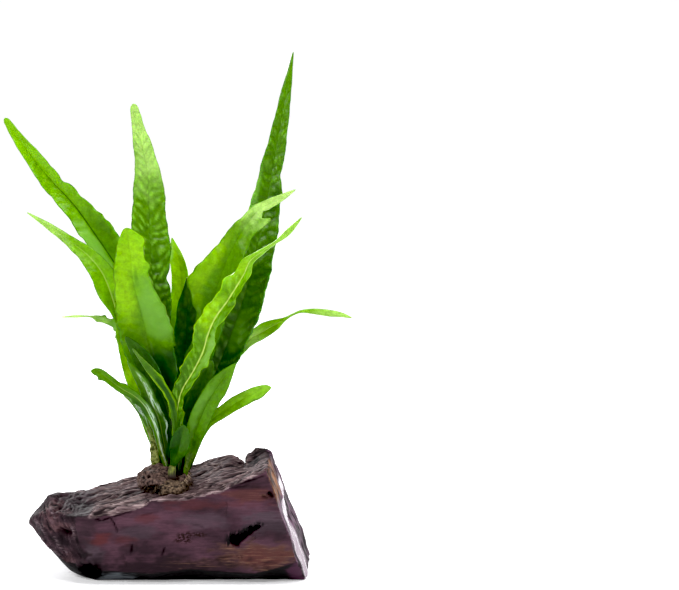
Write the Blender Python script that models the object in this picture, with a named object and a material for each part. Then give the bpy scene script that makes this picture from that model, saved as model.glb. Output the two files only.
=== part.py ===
"""A java fern grown on a block of driftwood: the wood, the rhizome with its root mat, and twenty fronds.

Lengths in the tables are millimetres. X runs to the right, Y to the back and Z up, from the middle of the
wood's flat underside. The face that is looked at is the front, towards -Y.
"""

from collections import namedtuple
from math import cos, exp, pi, radians, sin

import bmesh
import bpy
import numpy as np
from mathutils import Matrix, Vector, noise

MM = 0.001
GAP = 0.3
SHARP_ANGLE = 40.0

# Driftwood: its right end leans in towards the top, from where the lean starts, and has a low ledge.
WOOD_END = 68.0
END_LEAN = 0.327
LEAN_START = 30.0
END_FACE_LEAN = 0.94
END_UNEVENNESS = 0.9
LEDGE_HEIGHT = 24.0
LEDGE_DEPTH = 0.9
LEDGE_FRONT = -16.0
UNDERCUT = 9.0
EDGE_SETBACK = 0.6
BACK_SETBACK = 5.0
SHOULDER_HEIGHT = 0.62
SHOULDER_BOW = 1.6
WOOD_RING_SPACING = 4.2
END_SHRINK = (0.72, 0.42, 0.15)
SIDE_STEPS = {"undercut": 2, "front": 6, "top": 8, "shoulder": 3, "back": 4, "bottom": 5}
SIDE_ROUGHNESS = {"undercut": 0.5, "front": 0.2, "top": 1.2, "shoulder": 1.5, "back": 1.5, "bottom": 0.0,
                  "end": 0.3}

# Lengths of the wood's roughness: furrows along the grain and across it, broader lumps, and the end's face.
FURROW_LENGTH = 22.0
FURROW_WIDTH = 3.0
LUMP_LENGTH = 9.0
END_GRAIN = 6.2

# Along the grain: nominal x, underside, lower front edge, front rim, crest, then y of front, crest and back,
# and how late the top rises to its crest.
WOOD_STATIONS = (
    (-70.0, 24.0, 25.0, 27.0, 28.0, -11, -4, 3, 1.2),
    (-66.0, 18.5, 21.0, 31.5, 34.0, -15, -2, 9, 1.0),
    (-60.5, 13.0, 17.0, 35.0, 39.3, -20, -3, 16, 0.8),
    (-54.5, 8.0, 13.0, 34.5, 37.2, -24, 6, 22, 0.8),
    (-49.0, 3.0, 9.0, 33.5, 38.0, -27, 18, 27, 1.0),
    (-41.0, 0.0, 7.0, 33.5, 37.6, -30, 24, 31, 1.2),
    (-36.0, 0.0, 7.5, 34.6, 38.2, -32, 26, 33, 1.2),
    (-22.0, 0.0, 6.5, 38.0, 41.3, -32, 27, 34, 1.2),
    (-7.0, 0.0, 5.5, 42.0, 46.3, -32, 27, 34, 1.2),
    (12.0, 0.0, 8.0, 42.5, 49.0, -32, 26, 34, 1.1),
    (28.6, 0.0, 6.5, 47.0, 53.6, -32, 24, 33, 1.2),
    (34.4, 0.0, 6.0, 49.0, 51.6, -32, 22, 33, 1.6),
    (41.6, 0.0, 5.6, 50.9, 47.8, -32, 20, 32, 3.0),
    (44.0, 0.0, 5.6, 51.5, 56.8, -32, 12, 32, 6.0),
    (57.5, 0.0, 9.0, 55.0, 59.8, -32, 12, 31, 6.0),
    (64.0, 0.0, 10.5, 56.2, 60.4, -32, 12, 30, 5.0),
    (WOOD_END, 0.0, 12.5, 57.3, 57.0, -32, 15, 30, 2.5),
)

# Comet-shaped knot hole in the front face and the rotted hollow at the lower left: place, radii and tilt.
KNOT_HOLE = ((38.5, -33.5, 23.8), (9.5, 6.0, 3.6), 32)
ROT_HOLLOW = ((-38.0, -33.0, 5.5), (5.5, 6.0, 4.5), 10)

# Rhizome, root mat and the cut stalk
RHIZOME_MIDDLE = (-3.2, -8.0, 47.0)
RHIZOME_RADII = (13.2, 14.5, 7.8)
RHIZOME_KNOBS = (1.6, 4.8)
RHIZOME_DETAIL = 4
ROOT_MAT_MIDDLE = (2.0, -19.5, 44.8)
ROOT_MAT_RADII = (9.5, 6.5, 4.2)
ROOT_MAT_KNOBS = (1.0, 2.9)
ROOT_MAT_DETAIL = 3
STUB_FOOT = (1.6, -16.5, 46.0)
STUB_TIP = (1.9, -17.6, 55.5)
STUB_RADIUS = 1.7
STUB_BULGE = 0.12
STUB_SIDES = 10
STUB_RINGS = 4

# Dip in the top of the rhizome where the cut stalk stands: its x, y, depth and radius.
RHIZOME_DIP = (2.0, -19.0, 4.0, 6.0)

# Fronds: a round stalk that widens into a thin, folded and ruffled blade. It is a full blade from the width
# given here, and it thins out over the length before its tip.
STALK_RADIUS = 1.0
BLADE_THICKNESS = 1.1
BLADE_HALF_WIDTH = 4.0
FOLD_START = 1.5
TIP_HALF_WIDTH = 0.3
TIP_HALF_THICKNESS = 0.3
TIP_TAPER = 25.0
RING_SPACING = 7.5
FROND_SIDES = 8
FOOT_DEPTH = 6.0
RUFFLE_LENGTH = 21.0
LEFT_RUFFLE_LAG = 2.1

Frond = namedtuple("Frond", "name leaf fold ruffle route")

# A route's rows are x, y, z, the blade's half width and its roll in degrees, which turns the right half away.
FRONDS = (
    Frond("left_tall", "grown", 28, 0.7, (
        (-4.5, 4, 57, 1.0, 0), (-10, 11, 106, 4.0, 10), (-17, 14, 124, 7.0, 20), (-28, 16, 150, 9.5, 30),
        (-39, 17, 167, 9.6, 28), (-51, 18, 184, 7.2, 10), (-63, 18.5, 197, 5.7, 0),
        (-74, 19, 211, 3.9, 0), (-86, 20, 228, 0.3, 0))),
    Frond("centre_tall", "grown", 12, 0.9, (
        (-1.5, 1, 57, 1.0, 0), (-6, 4, 110, 4.5, 0), (-8, 4.5, 136, 7.5, 0), (-10, 4, 159, 9.6, 0),
        (-10.5, 3, 180, 9.0, 0), (-11, 1, 201, 6.6, 0), (-14, -1, 217, 3.7, 0), (-17, -4, 234, 0.3, 0))),
    Frond("front_broad", "young", 15, 1.0, (
        (-1.5, -3.5, 57, 1.0, 0), (-2, -5, 78, 2.5, 0), (-5, -8, 100, 8.0, 0), (-8, -11, 114, 13.5, 0),
        (-11, -14, 126, 14.5, 0), (-16, -20, 151, 11.5, 0), (-17.5, -25, 166, 8.2, 0),
        (-18.5, -28.5, 176, 2.6, 0))),
    Frond("left_low", "young", 18, 0.8, (
        (-7.5, -3, 57, 1.0, 0), (-14, -5, 87, 4.5, 0), (-23, -5, 117, 5.5, 0), (-33, -2, 149, 6.3, 0),
        (-40, 0, 158, 4.9, 0), (-49, 2, 165, 3.1, 0), (-61, 6, 173, 1.8, 0), (-73, 10, 180, 0.3, 0))),
    Frond("left_wisp", "young", 10, 0.8, (
        (-8, 3.5, 56, 1.0, 0), (-18, 6, 88, 1.5, 0), (-27.5, 12, 111, 1.8, 0), (-34, 15, 121, 2.2, 0),
        (-42, 17, 126, 2.0, 0), (-50, 18, 127, 1.2, 0), (-58, 20, 126, 0.3, 0))),
    Frond("left_curl", "grown", 20, 0.9, (
        (-3.2, -11.5, 55, 1.0, 0), (-6, -20, 73, 2.0, 0), (-12, -25.5, 88, 2.8, 0), (-22, -30, 96, 3.0, 0),
        (-29, -31, 101.5, 2.8, 0), (-35, -34, 106, 1.2, 0))),
    Frond("left_sliver", "grown", 20, 0.2, (
        (-7.5, -7.5, 55, 2.1, 0), (-8, -8, 63, 2.0, 0), (-9, -9, 66, 1.5, 0), (-10.5, -10, 72, 1.6, 0),
        (-14.5, -12, 80, 1.8, 0), (-20, -16, 88, 1.5, 0), (-27, -20, 94, 0.3, 0))),
    Frond("left_glossy", "old", 20, 0.3, (
        (-3.8, -7, 56, 1.0, 0), (-5.5, -12, 75, 2.6, 0), (-8, -16.5, 88, 3.4, 0), (-13, -20, 98, 3.0, 0),
        (-18, -23, 109, 0.4, 0))),
    Frond("front_dark", "old", 15, 0.6, (
        (-0.5, -7.5, 56, 1.0, 0), (-1, -9, 80, 3.3, 0), (-7.5, -14.5, 99, 4.8, 0), (-13.5, -19, 112, 5.0, 0),
        (-19.5, -24, 121, 4.2, 0))),
    Frond("front_wavy", "young", 25, 1.2, (
        (-0.5, -11.5, 55, 1.0, 0), (-1.8, -15, 67, 2.3, -15), (-1.7, -19, 79, 4.2, -25),
        (-3.2, -23, 88, 4.8, -30), (-6, -25.5, 95, 4.6, -30), (-11, -29, 104, 3.8, -20),
        (-17.5, -32.5, 114, 0.5, 0))),
    Frond("centre_dark", "old", 15, 0.6, (
        (2.6, -1, 57, 1.0, 0), (6, 1.5, 86, 4.0, 0), (7, 3, 111, 5.0, 0), (8, 4, 131, 4.0, 0),
        (9, 5, 148, 0.4, 0))),
    Frond("back_yellow", "young", 15, 0.5, (
        (1, 4.5, 56, 1.0, 0), (3, 16, 94, 3.5, 0), (2.5, 24, 129, 4.4, 0), (1.5, 30, 152, 3.8, 0),
        (-2.5, 34, 166, 0.4, 0))),
    Frond("right_tall", "grown", 15, 1.0, (
        (4.8, 2.5, 56, 1.0, 0), (13.5, 6, 78, 2.4, 0), (21, 9, 97, 5.5, 0), (29, 11, 117, 9.5, 0),
        (37, 13, 140, 10.5, 0), (42, 15, 160, 9.8, 0), (46, 17, 178, 8.3, 0), (50, 19, 200, 6.0, 0),
        (53, 20, 216, 4.7, 0), (57, 22, 238, 2.9, 0), (61, 24, 261, 0.3, 0))),
    Frond("right_broad", "young", 20, 1.0, (
        (6, -3, 57, 1.0, 0), (10, -3, 82, 3.5, 0), (15, -3, 112, 8.5, -10), (20, -4, 130, 10.5, -20),
        (25, -4, 147, 11.5, -20), (31, -4.5, 162, 10.0, -15), (35.5, -5, 170, 7.0, -10),
        (39.5, -6, 175.5, 5.0, 0), (43, -7, 180, 3.9, 0), (49, -8, 185, 2.6, 0), (55, -11, 188.5, 1.6, 0),
        (63, -14, 192, 0.3, 0))),
    Frond("front_yellow", "young", 28, 1.2, (
        (4.5, -12.5, 54, 1.0, 0), (5, -16, 76, 3.4, -15), (5.2, -19, 85, 4.3, -25), (7.5, -22, 94, 4.6, -25),
        (12, -26, 104, 5.2, -25), (17, -28.5, 113, 5.8, -25), (22.5, -31, 122, 6.8, -25),
        (30, -35, 136, 6.2, -25), (37, -39, 146, 5.0, -25), (44, -43, 156, 3.4, -20),
        (49.5, -45, 163, 1.8, 0), (56, -48, 170, 1.8, 0), (67, -52, 180, 0.3, 0))),
    Frond("right_pinched", "young", 12, 0.5, (
        (8, 1.2, 55, 1.0, 0), (12.8, 8, 68, 1.1, 0), (20, 14, 90, 2.6, 0), (30, 18, 106, 3.6, 0),
        (38, 21, 115, 4.0, 0), (45, 22, 120, 4.0, 0), (51.5, 22.5, 123.5, 2.4, 0), (58, 23, 127, 0.6, 0),
        (64, 23.5, 130, 0.6, 0), (71, 24, 130.5, 1.5, 0), (79, 24.5, 129.5, 2.0, 0),
        (86, 25, 127.5, 1.2, 0), (91, 25, 124.5, 0.3, 0))),
    Frond("right_low", "young", 15, 0.5, (
        (9.3, -7, 53, 1.0, 0), (18.5, -9, 75, 2.5, 0), (28, -12, 83, 3.8, 0), (39, -15, 90, 4.0, 0),
        (46, -16.3, 93, 3.5, 0), (51, -17, 95, 1.2, 0))),
    Frond("right_medium", "grown", 20, 0.7, (
        (8.4, -11.5, 53, 1.6, 0), (9.4, -12.5, 58, 1.8, 0), (11.5, -14, 65, 3.8, 0), (13.5, -16, 73, 5.0, 0),
        (20, -20, 88, 5.8, 0), (27, -24, 99, 5.0, 0), (34, -27, 108, 0.6, 0))),
    Frond("front_oval", "old", 10, 0.2, (
        (1.0, -13.2, 54, 0.9, 0), (3, -16, 60, 1.2, 0), (4.5, -19, 63.5, 4.0, 0), (6, -21, 68.5, 5.0, 0),
        (7, -22.5, 73, 3.6, 0), (8, -24, 77.5, 0.6, 0))),
    Frond("right_inner", "old", 15, 0.4, (
        (6, -6.5, 56, 1.0, 0), (10, -10, 78, 2.5, 0), (15, -13, 93, 3.4, 0), (19, -15, 102, 2.8, 0),
        (22, -16, 108, 0.5, 0))),
)


def clear_scene():
    for old in list(bpy.data.objects):
        bpy.data.objects.remove(old)


def new_collection(name):
    collection = bpy.data.collections.new(name)
    bpy.context.scene.collection.children.link(collection)
    return collection


def linear_colour(hex_colour):
    """Linear RGBA of an sRGB hex value."""
    values = [int(hex_colour[i:i + 2], 16) / 255 for i in (1, 3, 5)]
    linear = [v / 12.92 if v <= 0.04045 else ((v + 0.055) / 1.055) ** 2.4 for v in values]
    return (*linear, 1.0)


def new_material(name, colour, roughness):
    material = bpy.data.materials.new(name)
    material.use_nodes = True
    shader = material.node_tree.nodes["Principled BSDF"]
    shader.inputs["Base Color"].default_value = linear_colour(colour)
    shader.inputs["Roughness"].default_value = roughness
    shader.inputs["Metallic"].default_value = 0.0
    material.diffuse_color = linear_colour(colour)
    return material


def new_object(name, bm, material, collection):
    """Object from a bmesh whose vertices are millimetres."""
    bmesh.ops.scale(bm, vec=(MM, MM, MM), verts=bm.verts)
    bmesh.ops.recalc_face_normals(bm, faces=bm.faces)
    mesh = bpy.data.meshes.new(name)
    bm.to_mesh(mesh)
    bm.free()
    mesh.shade_smooth()
    mesh.set_sharp_from_angle(angle=radians(SHARP_ANGLE))
    if material:
        mesh.materials.append(material)
    piece = bpy.data.objects.new(name, mesh)
    collection.objects.link(piece)
    return piece


def as_cutter(piece):
    piece.hide_render = True
    piece.display_type = "WIRE"
    return piece


def swollen_copy(piece, name, cutters):
    """Cutter that stands the gap proud of a piece all round."""
    copy = bpy.data.objects.new(name, piece.data.copy())
    copy.data.materials.clear()
    cutters.objects.link(copy)
    swell = copy.modifiers.new("gap", "DISPLACE")
    swell.strength = GAP * MM
    swell.mid_level = 0.0
    return as_cutter(copy)


def cut(piece, cutter):
    boolean = piece.modifiers.new("clear_of_" + cutter.name, "BOOLEAN")
    boolean.operation = "DIFFERENCE"
    boolean.solver = "EXACT"
    boolean.object = cutter


def smooth_row(knots, rows, at):
    """Row at a distance along the smooth curve through all rows, whose own distances are the knots."""
    last = len(rows) - 1
    i = min(max(int(np.searchsorted(knots, at)) - 1, 0), last - 1)
    steps = np.diff(knots)
    slopes = np.diff(rows, axis=0) / steps[:, None]
    bends = [slopes[0], *((slopes[:-1] + slopes[1:]) / 2), slopes[-1]]
    t = (at - knots[i]) / steps[i]
    start = rows[i] * (1 + 2 * t) * (1 - t) ** 2 + bends[i] * steps[i] * t * (1 - t) ** 2
    end = rows[i + 1] * (3 - 2 * t) * t ** 2 - bends[i + 1] * steps[i] * (1 - t) * t ** 2
    return start + end


def ramp(value, start, end):
    """Share of the way from start to end, held at 0 and 1 outside them."""
    return min(max((value - start) / (end - start), 0.0), 1.0)


def ringed_cylinder(sides, rings):
    """Unit cylinder primitive along Z with rings of edges, and the side and ring number of each vertex."""
    bm = bmesh.new()
    bmesh.ops.create_cone(bm, cap_ends=True, segments=sides, radius1=1.0, radius2=1.0, depth=1.0)
    lengthwise = [e for e in bm.edges if abs(e.verts[0].co.z - e.verts[1].co.z) > 0.5]
    bmesh.ops.subdivide_edges(bm, edges=lengthwise, cuts=rings - 2, use_grid_fill=True)
    places = []
    for v in bm.verts:
        turn = np.arctan2(v.co.y, v.co.x) / (2 * pi) * sides
        places.append((v, round(turn) % sides, round((v.co.z + 0.5) * (rings - 1))))
    return bm, places


def wood_outline(station):
    """Outline of one cross section, round from the front of the underside, with each point's side."""
    bottom, edge, rim, crest, y_front, y_crest, y_back, late = station[1:]
    shoulder = bottom + (crest - bottom) * SHOULDER_HEIGHT
    corners = {
        "undercut": ((y_front + UNDERCUT, bottom), (y_front - EDGE_SETBACK, edge)),
        "front": ((y_front - EDGE_SETBACK, edge), (y_front, rim)),
        "top": ((y_front, rim), (y_crest, crest)),
        "shoulder": ((y_crest, crest), (y_back, shoulder)),
        "back": ((y_back, shoulder), (y_back - BACK_SETBACK, bottom)),
        "bottom": ((y_back - BACK_SETBACK, bottom), (y_front + UNDERCUT, bottom)),
    }
    points = []
    for side, ((y0, z0), (y1, z1)) in corners.items():
        for k in range(SIDE_STEPS[side]):
            t = k / SIDE_STEPS[side]
            rise = t ** late if side == "top" else t
            bow = SHOULDER_BOW * sin(pi * t) if side == "shoulder" else 0.0
            points.append((side, y0 + (y1 - y0) * t, z0 + (z1 - z0) * rise + bow))
    return points


def wood_roughness(side, x, y, z):
    """How far the weathered surface stands out or in: furrows along the grain and broader lumps."""
    furrow = noise.noise(Vector((x / FURROW_LENGTH, y / FURROW_WIDTH, z / FURROW_WIDTH)))
    broad = noise.noise(Vector((x, y, z)) / LUMP_LENGTH)
    return SIDE_ROUGHNESS[side] * (furrow + broad)


def wood_point(side, x, y, z, middle):
    """Surface point of the wood: roughened, with the leaning right end and its ledge."""
    out = Vector((0.0, y - middle[0], z - middle[1])).normalized()
    depth = wood_roughness(side, x, y, z)
    y += out.y * depth
    z = max(z + out.z * depth, 0.0)
    lean = ramp(x, LEAN_START, WOOD_END)
    x -= END_LEAN * z * lean
    if lean > END_FACE_LEAN:
        x += END_UNEVENNESS * noise.noise(Vector((0.0, y, z)) / END_GRAIN)
        if z < LEDGE_HEIGHT and y > LEDGE_FRONT:
            x += LEDGE_DEPTH
    return Vector((x, y, z))


def wood_rings():
    """Nominal x and size of each ring: between the stations, then closing in over the right end's face."""
    places = [station[0] for station in WOOD_STATIONS]
    rings = []
    for start, end in zip(places[:-1], places[1:]):
        steps = max(round((end - start) / WOOD_RING_SPACING), 1)
        rings += [(start + (end - start) * k / steps, 1.0) for k in range(steps)]
    return rings + [(WOOD_END, shrink) for shrink in (1.0, *END_SHRINK)]


def driftwood(material, collection, cutters):
    rings = wood_rings()
    bm, places = ringed_cylinder(sum(SIDE_STEPS.values()), len(rings))
    columns = np.array(WOOD_STATIONS, dtype=float).T
    outlines = [wood_outline([np.interp(x, columns[0], column) for column in columns]) for x, _ in rings]
    for v, side_number, ring in places:
        x, shrink = rings[ring]
        outline = outlines[ring]
        side, y, z = outline[side_number]
        middle = np.mean([(p[1], p[2]) for p in outline], axis=0)
        y = middle[0] + (y - middle[0]) * shrink
        z = middle[1] + (z - middle[1]) * shrink
        v.co = wood_point(side if shrink == 1.0 else "end", x, y, z, middle)
    wood = new_object("driftwood", bm, material, collection)
    wood_space = swollen_copy(wood, "wood_space", cutters)
    for name, hollow in (("knot_hole", KNOT_HOLE), ("rot_hollow", ROT_HOLLOW)):
        cut(wood, hollow_cutter(name, hollow, cutters))
    return wood_space


def hollow_cutter(name, hollow, cutters):
    middle, radii, tilt = hollow
    bm = bmesh.new()
    bmesh.ops.create_uvsphere(bm, u_segments=14, v_segments=9, radius=1.0)
    tilted = Matrix.Translation(middle) @ Matrix.Rotation(-radians(tilt), 4, "Y")
    bmesh.ops.transform(bm, matrix=tilted @ Matrix.Diagonal((*radii, 1.0)), verts=bm.verts)
    return as_cutter(new_object(name, bm, None, cutters))


def lump(middle, radii, knobs, detail):
    """Knobbly closed lump from a sphere. Its knobs have a height and a length."""
    height, length = knobs
    bm = bmesh.new()
    bmesh.ops.create_icosphere(bm, subdivisions=detail, radius=1.0)
    for v in bm.verts:
        direction = v.co.normalized()
        place = Vector([m + d * r for m, d, r in zip(middle, direction, radii)])
        bulge = noise.noise(place / length) + 0.5 * noise.noise(place / length * 2.2)
        v.co = place + direction * height * bulge
    return bm


def press_dip(bm, middle_height, dip):
    """Press a soft round dip into the upper side of a lump."""
    x, y, depth, radius = dip
    for v in bm.verts:
        away = ((v.co.x - x) ** 2 + (v.co.y - y) ** 2) / radius ** 2
        v.co.z -= depth * exp(-away) * ramp(v.co.z, middle_height, middle_height + depth)


def rhizome(material, collection, cutters, wood_space):
    bm = lump(RHIZOME_MIDDLE, RHIZOME_RADII, RHIZOME_KNOBS, RHIZOME_DETAIL)
    press_dip(bm, RHIZOME_MIDDLE[2], RHIZOME_DIP)
    stem = new_object("rhizome", bm, material, collection)
    space = swollen_copy(stem, "rhizome_space", cutters)
    cut(stem, wood_space)
    return space


def root_mat(material, collection, spaces):
    bm = lump(ROOT_MAT_MIDDLE, ROOT_MAT_RADII, ROOT_MAT_KNOBS, ROOT_MAT_DETAIL)
    mat = new_object("root_mat", bm, material, collection)
    for space in spaces:
        cut(mat, space)


def stalk_stub(material, collection, cutters, space):
    bm, places = ringed_cylinder(STUB_SIDES, STUB_RINGS)
    foot = Vector(STUB_FOOT)
    axis = Vector(STUB_TIP) - foot
    turn = axis.to_track_quat("Z", "Y")
    for v, side_number, ring in places:
        t = ring / (STUB_RINGS - 1)
        angle = 2 * pi * side_number / STUB_SIDES
        radius = STUB_RADIUS * (1.0 + STUB_BULGE * sin(pi * t))
        v.co = foot + axis * t + turn @ Vector((cos(angle) * radius, sin(angle) * radius, 0.0))
    stub = new_object("stalk_stub", bm, material, collection)
    stub_space = swollen_copy(stub, "stub_space", cutters)
    cut(stub, space)
    return stub_space


def rooted_route(route):
    """Rows of a frond's route with its foot carried on into the rhizome, and each row's distance along it."""
    rows = np.array(route, dtype=float)
    away = rows[0, :3] - rows[1, :3]
    foot = rows[0].copy()
    foot[:3] += away / np.linalg.norm(away) * FOOT_DEPTH
    rows = np.vstack([foot, rows])
    steps = np.linalg.norm(np.diff(rows[:, :3], axis=0), axis=1)
    return rows, np.concatenate([[0.0], np.cumsum(steps)])


def blade_axes(along, roll_degrees):
    """Directions across the blade and out of its front face, which looks forward but for the roll."""
    front = Vector((0.0, -1.0, 0.0))
    face = (front - along * front.dot(along)).normalized()
    side = along.cross(face)
    roll = radians(roll_degrees)
    return side * cos(roll) - face * sin(roll), face * cos(roll) + side * sin(roll)


def frond_rings(route):
    """Frames along a frond: place, side, face, half width, half thickness and distance from the foot."""
    rows, knots = rooted_route(route)
    length = knots[-1]
    last = max(round(length / RING_SPACING), 5)
    frames = []
    for ring in range(last + 1):
        at = length * ring / last
        row = smooth_row(knots, rows, at)
        ahead = smooth_row(knots, rows, min(at + 0.5, length))[:3]
        behind = smooth_row(knots, rows, max(at - 0.5, 0.0))[:3]
        side, face = blade_axes(Vector(ahead - behind).normalized(), row[4])
        half_width = max(row[3], TIP_HALF_WIDTH)
        blade = ramp(half_width, STALK_RADIUS, BLADE_HALF_WIDTH)
        stalk = STALK_RADIUS * (1.0 - blade) + 0.5 * BLADE_THICKNESS * blade
        tapered = TIP_HALF_THICKNESS + (STALK_RADIUS - TIP_HALF_THICKNESS) * ramp(length - at, 0.0, TIP_TAPER)
        frames.append((Vector(row[:3]), side, face, half_width, min(stalk, tapered), at))
    return frames


def frond(plan, material, collection, space):
    frames = frond_rings(plan.route)
    bm, places = ringed_cylinder(FROND_SIDES, len(frames))
    fold = radians(plan.fold)
    for v, side_number, ring in places:
        place, side, face, half_width, half_thickness, at = frames[ring]
        angle = 2 * pi * side_number / FROND_SIDES
        across = cos(angle)
        blade = ramp(half_width, FOLD_START, BLADE_HALF_WIDTH)
        lag = LEFT_RUFFLE_LAG if across < 0 else 0.0
        ruffle = plan.ruffle * blade * across ** 2 * sin(2 * pi * at / RUFFLE_LENGTH + lag)
        rise = abs(across) * half_width * sin(fold) * blade
        reach = across * half_width * (1.0 - (1.0 - cos(fold)) * blade)
        v.co = place + side * reach + face * (rise + ruffle + sin(angle) * half_thickness)
    piece = new_object(plan.name, bm, material, collection)
    cut(piece, space)


def build():
    clear_scene()
    parts = new_collection("java_fern_on_driftwood")
    cutters = new_collection("cutters")
    wood_material = new_material("driftwood", "#4a3336", 0.5)
    rhizome_material = new_material("rhizome_bark", "#5f4a38", 0.9)
    root_material = new_material("dry_roots", "#7a6347", 0.9)
    stub_material = new_material("old_stalk", "#6f7a2c", 0.6)
    leaf_materials = {
        "young": new_material("young_leaf", "#7bb51e", 0.4),
        "grown": new_material("grown_leaf", "#4c8f1e", 0.4),
        "old": new_material("old_leaf", "#1f5210", 0.4),
    }
    wood_space = driftwood(wood_material, parts, cutters)
    rhizome_space = rhizome(rhizome_material, parts, cutters, wood_space)
    stub_space = stalk_stub(stub_material, parts, cutters, rhizome_space)
    root_mat(root_material, parts, (wood_space, rhizome_space, stub_space))
    for plan in FRONDS:
        frond(plan, leaf_materials[plan.leaf], parts, rhizome_space)


build()
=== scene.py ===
"""Looks of a java fern grown on a block of driftwood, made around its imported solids.

Lengths are millimetres in the frame of the solids, with X to the right, Y to the back and Z up, but for the
studio's, which are metres.
"""
from collections import namedtuple
from math import cos, pi, radians, sin

import bpy
import numpy as np
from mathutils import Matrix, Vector, noise
from mathutils.bvhtree import BVHTree


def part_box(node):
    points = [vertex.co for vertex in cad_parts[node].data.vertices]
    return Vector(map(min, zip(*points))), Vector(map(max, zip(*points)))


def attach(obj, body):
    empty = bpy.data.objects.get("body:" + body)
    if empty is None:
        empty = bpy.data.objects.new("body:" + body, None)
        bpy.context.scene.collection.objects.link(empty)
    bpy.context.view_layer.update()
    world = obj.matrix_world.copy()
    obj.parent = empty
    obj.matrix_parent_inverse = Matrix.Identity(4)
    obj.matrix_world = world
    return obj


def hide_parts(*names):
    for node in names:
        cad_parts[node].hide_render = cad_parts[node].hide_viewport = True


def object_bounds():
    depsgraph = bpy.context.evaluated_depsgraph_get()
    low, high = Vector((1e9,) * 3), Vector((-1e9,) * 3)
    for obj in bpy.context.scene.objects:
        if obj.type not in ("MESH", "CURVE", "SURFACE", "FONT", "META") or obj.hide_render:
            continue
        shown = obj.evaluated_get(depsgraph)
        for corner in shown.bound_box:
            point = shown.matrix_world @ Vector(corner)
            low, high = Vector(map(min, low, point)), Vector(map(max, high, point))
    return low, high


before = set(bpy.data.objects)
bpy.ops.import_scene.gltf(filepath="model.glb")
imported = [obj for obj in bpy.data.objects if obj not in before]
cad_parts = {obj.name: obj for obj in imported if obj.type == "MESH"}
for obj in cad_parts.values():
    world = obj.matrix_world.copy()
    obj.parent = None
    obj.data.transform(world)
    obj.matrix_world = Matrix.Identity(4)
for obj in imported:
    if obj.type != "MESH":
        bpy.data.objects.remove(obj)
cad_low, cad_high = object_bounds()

MM = 0.001

# Camera of the photograph's view: its frame in pixels, and the scale where the plant stands.
FRAME_WIDTH = 679
MM_PER_PIXEL = 0.5
LENS = 85.0
SENSOR = 36.0
CAMERA_PITCH = 5.0
AIM = (84.5, 0.0, 139.1)

# Light of the room, where 1 shows as white: its strength at the horizon, overhead and above the front, the
# height of a direction where each is reached, and the depth where the front ends and the back starts.
HORIZON_LIGHT = 1.03
OVERHEAD_LIGHT = 0.3
FRONT_LIGHT = 0.14
HORIZON_TOP = 0.12
BACKDROP_TOP = 0.52
FRONT_TOP = 0.22
FRONT_END = -0.3
BACK_START = 0.2

# Floor: its size, its glow near the plant and farther out, and how far away each ends and starts, in metres.
FLOOR_SIZE = 12.0
NEAR_GLOW = 0.28
FLOOR_GLOW = 0.9
GLOW_START = 0.07
GLOW_FULL = 0.32

# Light that prints as black.
PRINT_BLACK = 0.012

# Softboxes: name, place and size in metres, and power in watts.
SOFTBOXES = (
    ("overhead", (0.15, -0.1, 0.95), 0.5, 9.0),
    ("right", (0.9, 0.1, 0.3), 0.4, 6.0),
    ("key", (-0.55, -0.8, 0.8), 0.3, 10.5),
    ("behind", (-0.4, 0.75, 0.5), 0.4, 8.0),
)

# Fronds: the same plan as the solids, with a thin blade and fine detail.
STALK_RADIUS = 1.0
BLADE_HALF_WIDTH = 4.0
FOLD_START = 1.5
TIP_HALF_WIDTH = 0.3
TIP_THINNING = 12.0
FOOT_DEPTH = 6.5
RUFFLE_LENGTH = 21.0
FRILL_LENGTH = 8.3
PUCKER_LENGTH = 3.4
LEFT_RUFFLE_LAG = 2.1
RING_SPACING = 0.9
HALF_COLUMNS = 13
BLADE_HALF_THICKNESS = 0.22
EDGE_HALF_THICKNESS = 0.02
VEIN_SPACING = 5.2
MIDRIB_WIDTH = 0.55
MIDRIB_SUNK = 0.16
MIDRIB_RAISED = 0.55

Frond = namedtuple("Frond", "name slot ages pale fold ruffle quilt rib lobes marks route")

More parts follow.
